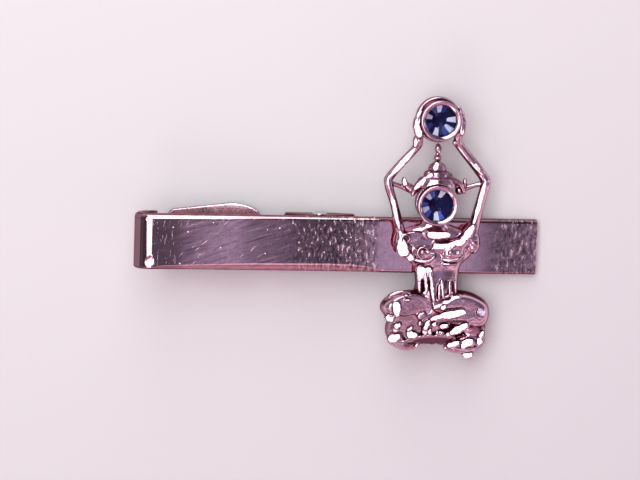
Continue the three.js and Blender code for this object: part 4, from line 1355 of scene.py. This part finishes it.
def head_shapes():
    """The seats behind both stones, the headdress with its tower, and the bands beside it."""
    x, y = FACE_SEAT[0] - FIGURE_X, FACE_SEAT[1]
    shapes = [
        (disc((x, y), 2.15, 0.0, 1.2, 0.1), 0.1),
        (ellipsoid((-0.1, 2.4, 0.7), (1.6, 1.5, 0.9)), 0.3),
    ]
    tower = [
        (0, 6.8), (2.4, 7.0), (2.3, 7.5), (2.05, 7.95), (1.55, 8.15), (1.5, 8.5), (1.42, 8.7),
        (1.05, 8.85), (1.05, 9.15), (0.9, 9.5), (0.55, 9.72), (0.28, 9.9), (0.42, 10.1), (0.44, 10.4),
        (0.26, 10.75), (0.24, 10.9), (0.34, 11.15), (0.37, 11.5), (0.24, 11.85), (0, 12.0),
    ]
    shapes.append((turned(tower, x + 0.12, 1.1, 0.8), 0.08))
    rods = [
        ([(-3.0, 6.1, 1.6), (-2.75, 6.75, 1.75), (-2.0, 7.75, 1.85), (-1.0, 8.25, 1.8), (0.3, 8.3, 1.8),
          (1.5, 8.0, 1.75), (2.5, 7.3, 1.65), (2.95, 6.5, 1.55)],
         [0.22, 0.3, 0.32, 0.26, 0.24, 0.26, 0.3, 0.24]),
        ([(-2.5, 6.6, 1.6), (-1.6, 7.6, 1.65), (-0.4, 7.95, 1.65), (0.8, 7.85, 1.65), (2.0, 7.1, 1.6)],
         0.25),
        ([(-2.8, 6.5, 1.0), (-3.4, 6.95, 1.1), (-3.9, 7.3, 1.2)], [0.5, 0.42, 0.3]),
        ([(2.5, 6.6, 1.0), (2.85, 7.0, 1.1), (3.1, 7.4, 1.2)], [0.5, 0.4, 0.28]),
        ([(-3.0, 6.4, 0.8), (-4.2, 6.9, 0.8), (-5.4, 7.3, 0.9)], [0.34, 0.28, 0.28]),
        ([(2.7, 6.6, 0.8), (4.0, 7.1, 0.8), (5.3, 7.5, 0.9)], [0.34, 0.28, 0.28]),
    ]
    shapes += [(rod(path, radii), 0.07) for path, radii in rods]
    blobs = [
        ((-3.98, 7.5, 1.3), (0.27, 0.5, 0.3), 0), ((3.05, 7.6, 1.3), (0.24, 0.46, 0.3), 0),
        ((-1.2, 8.62, 1.75), (0.48, 0.24, 0.26), 20), ((1.2, 8.5, 1.65), (0.4, 0.22, 0.24), -20),
        ((-0.52, 9.45, 1.6), (0.34, 0.52, 0.38), -22), ((-0.25, 10.3, 1.35), (0.42, 0.3, 0.4), 15),
        ((-0.25, 11.4, 1.35), (0.3, 0.46, 0.34), 0), ((-0.35, 8.98, 1.75), (0.6, 0.16, 0.22), 0),
    ]
    shapes += [(ellipsoid(c, r, t), 0.05) for c, r, t in blobs]
    x, y = UPPER_SEAT[0] - FIGURE_X, UPPER_SEAT[1]
    return shapes + [
        (disc((x, y), 2.62, 0.75, 1.75, 0.32), 0.08),
        (rod([(-2.6, 13.2, 1.1), (x, y - 0.6, 1.0), (2.1, 13.2, 1.1)], [0.4, 0.35, 0.4]), 0.15),
    ]


SASH = [
    ((-1.9, -4.05, 2.06), (0.19, 1.05), (-14, 2), 6), ((-1.15, -4.0, 2.36), (0.22, 1.05), (-12, 2), 6),
    ((-1.22, -5.08, 2.4), (0.26, 0.26), (-11, 6), 0), ((-0.46, -4.45, 2.54), (0.25, 1.75), (-11, 2), 9),
    ((0.4, -5.1, 2.52), (0.17, 0.95), (-10, 2), 1), ((0.74, -4.55, 2.48), (0.2, 1.1), (-10, 2), 7),
    ((1.22, -5.52, 2.52), (0.46, 0.15), (-6, 8), 22), ((1.62, -4.5, 2.38), (0.15, 0.9), (-9, 2), 2),
    ((2.33, -4.4, 2.08), (0.14, 0.75), (-9, 2), 4),
]
SASH_GAPS = [
    ([(-1.52, -3.7, 2.02), (-1.44, -4.85, 2.2)], 0.19), ([(-0.83, -3.45, 2.24), (-0.72, -5.5, 2.44)], 0.16),
    ([(-0.02, -3.9, 2.32), (0.1, -6.0, 2.54)], 0.19), ([(0.57, -4.7, 2.36), (0.62, -5.9, 2.5)], 0.07),
    ([(1.18, -3.8, 2.24), (1.2, -5.2, 2.42)], 0.2), ([(1.97, -3.8, 2.06), (2.0, -5.0, 2.26)], 0.18),
]


def sash_shapes():
    """Strands of the sash, which hang over the lap in loops."""
    return [(pad(centre, radii, lean, turn, 0.08), 0.05) for centre, radii, lean, turn in SASH]


def leg_shapes():
    """The lap, the thighs, the shins and the feet."""
    masses = [
        ((0.2, -6.6, 0.8), (2.7, 1.6, 1.55), 0), ((-0.4, -8.6, 0.8), (3.4, 1.6, 1.5), 0),
        ((-3.0, -6.7, 0.8), (3.15, 1.65, 1.95), 8), ((3.1, -7.2, 0.85), (3.4, 2.25, 2.0), -4),
        ((-3.4, -9.6, 0.6), (2.0, 2.1, 1.55), 10), ((4.1, -11.0, 0.5), (2.3, 1.15, 1.3), 6),
        ((5.2, -7.6, 0.95), (1.4, 1.8, 1.5), 0), ((-4.4, -7.6, 0.9), (1.2, 1.3, 1.4), 0),
        ((4.9, -9.5, 0.5), (1.5, 1.2, 1.1), 20), ((-0.6, -10.5, 0.4), (2.4, 0.8, 0.9), 3),
        ((-2.5, -11.1, 0.4), (1.1, 0.65, 0.8), 0), ((1.6, -10.9, 0.4), (1.2, 0.6, 1.0), 0),
    ]
    rods = [
        ([(1.7, -11.72, 0.9), (3.2, -12.0, 0.9), (5.0, -11.8, 0.85)], [0.26, 0.34, 0.3], 0.14),
        ([(-4.7, -10.9, 0.85), (-3.95, -11.4, 0.8), (-2.87, -11.78, 0.65), (-2.0, -11.7, 0.6)],
         [0.4, 0.36, 0.32, 0.28], 0.12),
        ([(-5.55, -6.15, 1.1), (-4.9, -5.5, 1.45), (-3.8, -5.12, 1.6), (-2.9, -5.15, 1.65)],
         [0.2, 0.24, 0.2, 0.14], 0.1),
        ([(-0.25, -6.95, 2.2), (0.97, -6.55, 2.5), (2.2, -6.42, 2.6), (3.4, -6.45, 2.45)],
         [0.15, 0.22, 0.16, 0.12], 0.06),
        ([(-2.5, -6.2, 2.05), (-1.75, -6.25, 2.12), (-1.05, -6.5, 2.1)], [0.1, 0.16, 0.12], 0.12),
    ]
    shin = pad((0.1, -10.6, 1.8), (2.6, 0.6), (0, -30), 2, 0.1, 1.2)
    shapes = [(ellipsoid(c, r, t), 0.3) for c, r, t in masses]
    return shapes + blended_rods(rods) + [(shin, 0.08)]


# Places with painted shade: middle, half sizes, turn and how dark
PAINTED_SHADE_PLACES = [
    ((0.0, -10.8, 1.5), (2.3, 0.5, 1.3), 3, 0.9), ((-3.3, -8.05, 2.0), (1.0, 0.35, 0.8), -8, 0.55),
    ((-3.2, -10.4, 1.6), (0.35, 0.7, 0.8), 10, 0.5), ((0.9, -8.4, 2.4), (1.2, 0.25, 0.8), 8, 0.5),
    ((5.4, -9.2, 1.4), (1.2, 0.4, 0.9), 20, 0.6), ((-4.9, 5.0, 0.9), (0.2, 2.4, 0.3), 16, 0.4),
    ((-2.7, -11.15, 1.0), (0.9, 0.35, 0.8), 0, 0.85), ((0.1, 1.5, 2.2), (1.3, 0.4, 0.4), 0, 0.2),
    ((1.5, -2.8, 2.2), (0.65, 0.4, 0.6), 0, 0.35), ((0.2, 7.9, 1.3), (2.6, 1.2, 1.5), 0, 0.4),
    ((-3.2, -8.3, 1.6), (2.6, 3.2, 1.6), 0, 0.25),
    ((-1.8, -8.9, 1.9), (0.9, 0.7, 0.8), 0, 0.45), ((4.6, -6.3, 2.3), (1.3, 0.25, 0.6), -16, 0.3),
]
LEG_PADS = [
    ((-4.43, -6.95, 2.56), (0.49, 0.88), (-12, 6), 4, 0.09, 0.06),
    ((-5.08, -8.1, 2.04), (0.52, 0.52), (-12, 6), -30, 0.09, 0.06),
    ((-4.2, -9, 2.18), (0.47, 0.34), (-10, 6), 30, 0.1, 0.06),
    ((-4.35, -9.5, 2.06), (0.39, 0.29), (-9, 6), 10, 0.1, 0.06),
    ((-4.45, -10.45, 1.86), (0.78, 0.52), (-11, 7), 28, 0.09, 0.06),
    ((-2.5, -10.05, 2.16), (0.68, 0.44), (-10, 7), -6, 0.1, 0.06),
    ((-2.72, -9.35, 2.21), (0.44, 0.21), (-8, 7), 32, 0.08, 0.05),
    ((-3.37, -5.45, 2.38), (0.26, 0.13), (-8, 8), 0, 0.06, 0.08),
    ((-3.2, -6, 2.36), (0.36, 0.13), (-8, 8), 0, 0.06, 0.08),
    ((-1.5, -7.75, 2.41), (0.52, 0.33), (-5, 5), 30, 0.1, 0.15),
    ((-1.55, -8.7, 2.21), (0.26, 0.29), (-6, 5), 0, 0.08, 0.06),
    ((-0.84, -8.82, 2.44), (0.31, 0.68), (-11, 6), -24, 0.1, 0.06),
    ((-1, -9.6, 2.31), (0.35, 0.39), (-9, 6), 0, 0.1, 0.06),
    ((-0.42, -9.62, 2.36), (0.22, 0.36), (-8, 6), 0, 0.08, 0.06),
    ((0.95, -6.72, 2.78), (0.39, 0.26), (-9, 8), 20, 0.08, 0.06),
    ((1.95, -7.5, 2.98), (1.56, 0.44), (-10, 8), 12, 0.09, 0.05),
    ((0.25, -7.92, 2.72), (0.86, 0.29), (-9, 9), 16, 0.1, 0.05),
    ((1.5, -8.12, 2.78), (1.30, 0.17), (-3, 4), 8, 0.07, 0.05),
    ((1.1, -8.92, 2.68), (0.55, 0.29), (-10, 8), 12, 0.1, 0.05),
    ((0.02, -8.72, 2.56), (0.34, 0.29), (-10, 6), 30, 0.1, 0.05),
    ((2.85, -9.22, 2.84), (1.23, 0.44), (-9, 9), 27, 0.09, 0.05),
    ((1.85, -9.75, 2.61), (0.55, 0.26), (-9, 8), 30, 0.1, 0.05),
    ((0.75, -9.75, 2.31), (0.52, 0.23), (-6, 5), 0, 0.08, 0.05),
    ((5.45, -7.3, 2.45), (0.64, 0.42), (27, 10), -35, 0.08, 0.05),
    ((2.5, -11.1, 2.06), (0.86, 0.34), (-9, 9), 18, 0.1, 0.06),
    ((4, -10.98, 2.06), (0.88, 0.49), (-9, 8), 22, 0.09, 0.06),
    ((5.55, -10.8, 1.91), (0.43, 0.42), (-9, 8), 0, 0.1, 0.06),
    ((5.75, -10, 1.86), (0.31, 0.47), (-9, 8), -30, 0.1, 0.06),
    ((4.42, -12.58, 0.96), (0.65, 0.39), (-9, 8), 6, 0.09, 0.06),
    ((-1.68, -11.2, 1.61), (0.21, 0.44), (-9, 6), -30, 0.08, 0.05),
]
LEG_GROOVES = [
    ([(1.3, -10.75, 1.95), (2.6, -10.5, 2.2), (4.2, -10.0, 2.15), (6.2, -9.15, 1.5)], 0.2),
    ([(3.2, -10.6, 2.1), (3.25, -11.2, 2.05), (3.2, -11.7, 1.6)], 0.09),
    ([(4.92, -10.4, 1.95), (5.05, -11.0, 1.85), (5.0, -11.5, 1.4)], 0.1),
    ([(1.2, -11.45, 1.5), (3.2, -11.62, 1.55), (5.2, -11.4, 1.35)], 0.1),
    ([(-0.5, -6.3, 2.2), (-0.45, -7.2, 2.35), (-0.75, -8.2, 2.25)], 0.14),
    ([(-0.25, -7.5, 2.45), (1.3, -7.02, 2.5), (3.2, -6.78, 2.5)], 0.16),
    ([(0.1, -8.3, 2.3), (1.2, -8.3, 2.4), (2.4, -8.2, 2.4)], 0.12),
    ([(1.3, -8.72, 2.4), (2.4, -8.42, 2.45), (3.7, -8.3, 2.45)], 0.15),
    ([(0.5, -9.25, 2.45), (1.4, -9.25, 2.55), (1.9, -9.3, 2.6)], 0.12),
    ([(-3.6, -8.15, 2.0), (-2.7, -8.3, 2.1), (-1.6, -8.2, 2.15)], 0.12),
    ([(-3.6, -9.9, 1.8), (-3.3, -10.5, 1.7), (-2.7, -11.1, 1.4), (-1.9, -11.2, 1.3)], 0.13),
    ([(-5.4, -7.6, 1.85), (-4.8, -7.68, 2.1), (-4.3, -7.8, 2.25)], 0.08),
    ([(-5.3, -8.6, 1.8), (-4.7, -8.62, 1.95), (-4.0, -8.62, 2.05)], 0.1),
    ([(-5.1, -9.95, 1.6), (-4.5, -9.92, 1.75), (-3.8, -9.85, 1.8)], 0.11),
    ([(-0.6, -9.2, 2.3), (-0.2, -9.15, 2.4), (0.3, -9.2, 2.4)], 0.1),
    ([(-2.0, -9.7, 1.95), (-1.9, -10.3, 1.8)], 0.1),
]


def carve(field, joined, cut):
    """Joins and then cuts shapes drawn from the figure's axis, each with its blend."""
    for shape, blend in joined:
        field.join(moved(shape), blend)
    for shape, blend in cut:
        field.cut(moved(shape), blend)


def join_field(whole, part, blend):
    """Joins a field on the same step that starts inside another."""
    start = [int(np.searchsorted(whole.axes[a], part.axes[a][0] - 1e-9)) for a in range(3)]
    sizes = np.minimum(part.values.shape, np.array(whole.values.shape) - start)
    place = tuple(slice(first, first + size) for first, size in zip(start, sizes))
    fitting = tuple(slice(0, size) for size in sizes)
    whole.values[place] = smooth_min(whole.values[place], part.values[fitting], blend)


def trim(field, start, level):
    """Cuts off what lies under a level, from a place along y to the field's end."""
    (left, right), end = field.axes[0][[0, -1]], field.axes[1][-1]
    field.cut(block((left - 1, start, level - 3), (right + 1, end + 1, level)), 0.0)


# Along y: where the upper figure's samples begin, and from where the bar lies behind the figure
UPPER_START = -6.6
BAR_START = -5.0


def cast_dancer(material):
    low, high = CASTING_LOW - GRID_MARGIN, CASTING_HIGH + (GRID_MARGIN, GRID_MARGIN + 1, GRID_MARGIN)
    upper = Field((low[0], UPPER_START, -GRID_MARGIN), high, CAST_STEP)
    upper_grooves = grooves(TORSO_GROOVES, 0.04) + grooves(SASH_GAPS, 0.03)
    carve(upper, torso_shapes() + arm_shapes() + head_shapes(), planes(TORSO_PLANES))
    carve(upper, pads(TORSO_PADS + ARM_PADS + HEAD_PADS) + bead_shapes() + sash_shapes(), upper_grooves)
    trim(upper, UPPER_START - 1, 0.0)

    whole = Field(low, high, CAST_STEP)
    leg_grooves = grooves(LEG_GROOVES, 0.04)
    carve(whole, leg_shapes(), planes(LEG_PLANES))
    carve(whole, pads(LEG_PADS), leg_grooves)
    trim(whole, low[1] - 1, CASTING_LOW[2])
    trim(whole, BAR_START, 0.0)
    join_field(whole, upper, 0.1)
    for seat in (FACE_SEAT, UPPER_SEAT):
        whole.cut(disc(seat[:2], CUP_RADIUS + SETTING_CLEARANCE, seat[2], seat[2] + 20), 0.0)
    points, faces = whole.mesh()
    made = piece("cast_dancer", points, faces, material, "dancer_casting", "cast")
    store_hollows(made, 4)
    # Painted shade in the carved grooves and on the listed places.
    dark = [(moved(shape), 1.0) for shape, _ in upper_grooves + leg_grooves]
    dark += [(moved(ellipsoid(centre, radii, turn)), strength) for centre, radii, turn, strength in PAINTED_SHADE_PLACES]
    store_grooves(made, points, dark)


# Camera, floor and light


VIEW_TILT_X = 8.2
VIEW_TILT_Y = 8.0
VIEW_ROLL = 2.0385
VIEW_DISTANCE = 300.0
VIEW_SHIFT = (2.06855, -0.51778)
FOCAL_PIXELS = 2624.9
IMAGE_WIDTH = 640
SENSOR = 36.0

FLOOR_HALF = 750.0
FLOOR_DROP = 0.02
FLOOR_COLOUR = (0.80, 0.79, 0.80, 1)
FLOOR_FADE = (90.0, 260.0)

LEFT_WALL = (0.085, 0.060, 0.095, 1)
FAR_WALL = (0.050, 0.036, 0.052, 1)
RIGHT_WALL = (0.20, 0.15, 0.20, 1)
LOW_WALL = (0.27, 0.23, 0.26, 1)
NEAR_LOW = (0.38, 0.30, 0.33, 1)
CARD_COLOUR = (0.48, 0.23, 0.31, 1)
CARD_LOW = (0.64, 0.32, 0.44, 1)
STRIP_COLOUR = (0.98, 0.66, 0.74, 1)
# Where the room's parts begin and are full, in the z, x or y of a direction of length 1
HORIZON = (0.10, 0.14)
CARD_FOOT = (0.10, 0.16)
NEAR_LOW_TOP = (0.36, 0.28)
LOW_WALL_TOP = (0.58, 0.38)
CEILING_EDGE = (0.86, 0.94)
FAR_WALL_EDGE = (-0.5, -0.1)
RIGHT_WALL_EDGE = (0.25, 0.5)
STRIP_EDGE = (-0.185, -0.20)
STRIP_END = (-0.40, -0.34)
CARD_EDGE = (-0.195, -0.24)
CARD_LOW_EDGE = (-0.58, -0.72)
# The ceiling's bands: degrees from straight up towards +x, and how bright
CEILING_REACH = 0.3
CEILING_TINT = (1, 0.84, 1.25)
CEILING_BANDS = (
    (0.0, 0.13), (4.5, 0.14), (4.9, 0.12), (5.2, 0.20), (5.45, 0.27), (5.7, 0.30), (5.95, 0.38),
    (6.15, 0.48), (6.4, 0.45), (6.55, 0.27), (6.9, 0.17), (7.15, 0.21), (7.4, 0.17), (7.65, 0.12),
    (8.4, 0.09), (8.95, 0.09), (9.15, 0.12), (9.3, 0.46), (11.5, 0.42), (11.75, 0.24), (12.0, 0.13),
    (12.55, 0.11), (12.7, 0.30), (13.3, 0.30), (14.5, 0.18), (17.4, 0.24),
)

# Panels of light: name, middle, the way it shines, width, height, radiance, turn and colour
WHITE = (1, 1, 1)
BLUE_WHITE = (0.70, 0.78, 1.0)
PANELS = (
    ("key", (-104, 128, 250), (0, 0, -1), 236, 356, 3.0, -9, WHITE),
    ("top", (-50, 325, 150), (0, -1, 0), 230, 200, 2.6, 0, WHITE),
    ("low", (-130, -250, 230), (0.4, 0.7, -0.6), 110, 110, 2.6, 0, WHITE),
    ("side", (260, 30, 130), (-0.9, -0.1, -0.4), 60, 36, 2.0, 0, BLUE_WHITE),
)


def set_in_scene(made, place, right, up, back):
    """Puts a camera or lamp at a place in millimetres, with its own axes along three directions."""
    bpy.context.scene.collection.objects.link(made)
    turn = Matrix((Vector(right), Vector(up), Vector(back))).transposed()
    made.matrix_world = Matrix.Translation(Vector(np.array(place, float) * MM)) @ turn.to_4x4()


def view_axes(back, turn):
    """Right and up of a camera or lamp whose back faces a direction, turned by degrees."""
    level_right = np.cross((0, 1, 0) if abs(back[1]) < 0.99 else (0, 0, 1), back)
    level_right /= np.linalg.norm(level_right)
    level_up = np.cross(back, level_right)
    c, s = on_circle(1.0, math.radians(turn))
    return c * level_right + s * level_up, c * level_up - s * level_right


def camera():
    """The photograph's view: tilted a little from square above the bar, and rolled."""
    back = np.array([-math.sin(math.radians(VIEW_TILT_X)), math.sin(math.radians(VIEW_TILT_Y)), 0.0])
    back[2] = math.sqrt(1 - back[0] ** 2 - back[1] ** 2)
    right, up = view_axes(back, VIEW_ROLL)
    data = bpy.data.cameras.new("camera")
    data.sensor_width = SENSOR
    data.lens = SENSOR * FOCAL_PIXELS / IMAGE_WIDTH
    data.clip_start, data.clip_end = 0.01, 5.0
    made = bpy.data.objects.new("camera", data)
    set_in_scene(made, back * VIEW_DISTANCE - right * VIEW_SHIFT[0] - up * VIEW_SHIFT[1], right, up, back)
    bpy.context.scene.camera = made


def pale_floor():
    """Plain and pale. Seen from below or far out it is clear, so that the world's pale colour shows."""
    shader = Shader(bpy.data.materials.new("pale_floor"))
    shade = tuple(c * 0.98 for c in FLOOR_COLOUR[:3]) + (1,)
    colour = shader.layers(FLOOR_COLOUR, (shader.noise(0.02, 1.0), shade))
    shader.finish(Base_Color=colour, Roughness=0.9, Specular_IOR_Level=0.1)
    underside = shader.get("ShaderNodeNewGeometry", "Backfacing")
    reach = shader.get("ShaderNodeVectorMath", "Value", {"operation": "LENGTH"}, Vector=shader.place())
    camera_ray, glossy, through = (
        shader.get("ShaderNodeLightPath", f"Is {kind} Ray") for kind in ("Camera", "Glossy", "Transmission")
    )
    mixed = shader.node("ShaderNodeMixShader")
    shares = (underside | shader.ramp(reach, *FLOOR_FADE)) * (camera_ray | glossy | through)
    shader.set(mixed.inputs[0], shares)
    shader.set(mixed.inputs[1], Signal(shader, shader.surface.outputs[0]))
    shader.set(mixed.inputs[2], shader.get("ShaderNodeBsdfTransparent", 0))
    shader.set(shader.tree.nodes["Material Output"].inputs["Surface"], Signal(shader, mixed.outputs[0]))
    return shader.owner


def floor():
    """A plane under the two edges that carry the object: the heel of the lever's jaw and the bar's
    right end."""
    heel = np.array([PIN_X + JAW_BEND, 0.0, FLOOR_MIDDLE - LEVER_SHEET / 2])
    bar_end = np.array([BAR_HIGH[0], 0.0, -BAR_THICKNESS])
    across = (bar_end - heel) / np.linalg.norm(bar_end - heel)
    along = np.array([0.0, 1.0, 0.0])
    centre = (heel + bar_end) / 2 - np.cross(across, along) * FLOOR_DROP
    corners_from_centre = ((-1, -1), (1, -1), (1, 1), (-1, 1))
    points = [centre + (a * across + b * along) * FLOOR_HALF for a, b in corners_from_centre]
    mesh = bpy.data.meshes.new("floor")
    mesh.from_pydata([tuple(p * MM) for p in points], [], [(0, 1, 2, 3)])
    mesh.materials.append(pale_floor())
    made = bpy.data.objects.new("floor", mesh)
    bpy.context.scene.collection.objects.link(made)


def soft_box(name, place, facing, width, height, radiance, turn, colour):
    """A panel of light. place is its middle and facing the way it shines; turn is in degrees."""
    back = -np.array(facing, float) / np.linalg.norm(facing)
    data = bpy.data.lights.new(name, "AREA")
    data.shape = "RECTANGLE"
    data.size, data.size_y = width * MM, height * MM
    data.energy = radiance * math.pi * data.size * data.size_y
    data.color = colour
    made = bpy.data.objects.new(name, data)
    set_in_scene(made, place, *view_axes(back, turn), back)
    made.visible_camera = False


def world():
    """A studio room: pale up to just above the horizon, dark walls that are paler low down, a rose
    card with a bright strip on the near wall, and a grey ceiling with soft bands."""
    made = bpy.data.worlds.new("studio")
    bpy.context.scene.world = made
    shader = Shader(made)
    x, y, z = shader.split(shader.get("ShaderNodeTexCoord", "Generated"))
    above_foot = shader.ramp(z, *CARD_FOOT)
    bands = shader.node("ShaderNodeValToRGB")
    shader.set(bands.inputs["Fac"], shader.ramp(x, 0.0, CEILING_REACH, kind="LINEAR"))
    ramp = bands.color_ramp
    ramp.elements.remove(ramp.elements[1])
    for place, (degrees, value) in enumerate(CEILING_BANDS):
        at = math.sin(math.radians(degrees)) / CEILING_REACH
        element = ramp.elements.new(at) if place else ramp.elements[0]
        element.color = (*(value * tint for tint in CEILING_TINT), 1)
    card = shader.layers(
        CARD_COLOUR,
        (shader.ramp(y, *CARD_LOW_EDGE), CARD_LOW),
        (shader.ramp(z, *NEAR_LOW_TOP), NEAR_LOW),
    )
    walls = shader.layers(
        LEFT_WALL,
        (shader.ramp(x, *FAR_WALL_EDGE), FAR_WALL),
        (shader.ramp(x, *RIGHT_WALL_EDGE), RIGHT_WALL),
        (shader.ramp(z, *LOW_WALL_TOP), LOW_WALL),
        (shader.ramp(y, *CARD_EDGE) * above_foot, card),
    )
    strip = shader.ramp(y, *STRIP_EDGE) * shader.ramp(y, *STRIP_END)
    colour = shader.layers(
        FLOOR_COLOUR,
        (shader.ramp(z, *HORIZON), walls),
        (shader.ramp(z, *CEILING_EDGE), Signal(shader, bands.outputs["Color"])),
        (strip * above_foot, STRIP_COLOUR),
    )
    shader.set(shader.tree.nodes["Background"].inputs["Color"], colour)


# Foil facets painted with flashes of reflected light: degrees from +x, and how bright
FACE_FLASHES = (
    (135, 1.0), (112, 0.28), (66, 1.0), (200, 1.0), (180, 0.3), (265, 1.0), (290, 0.4), (225, 0.3),
)
UPPER_FLASHES = (
    (98, 1.0), (75, 0.15), (160, 1.0), (10, 0.95), (-42, 0.75), (252, 0.95), (128, 0.2), (-65, 0.2),
    (200, 0.2),
)


def main():
    camera()
    world()
    for panel in PANELS:
        soft_box(*panel)
    floor()
    cast, clip, steel = cast_metal(), clip_metal(), steel_metal()
    setting = (blue_glass(), silver_foil(), cast)
    polished_bar(plated_bar())
    folded_bracket(clip)
    stamped_lever(clip)
    riveted_pin(steel)
    coiled_spring(steel)
    set_stone("face", FACE_SEAT, 11.0, FACE_FLASHES, *setting)
    set_stone("upper", UPPER_SEAT, -6.0, UPPER_FLASHES, *setting)
    cast_dancer(cast)
    bpy.context.scene.view_settings.view_transform = "Standard"


main()

bpy.context.view_layer.update()
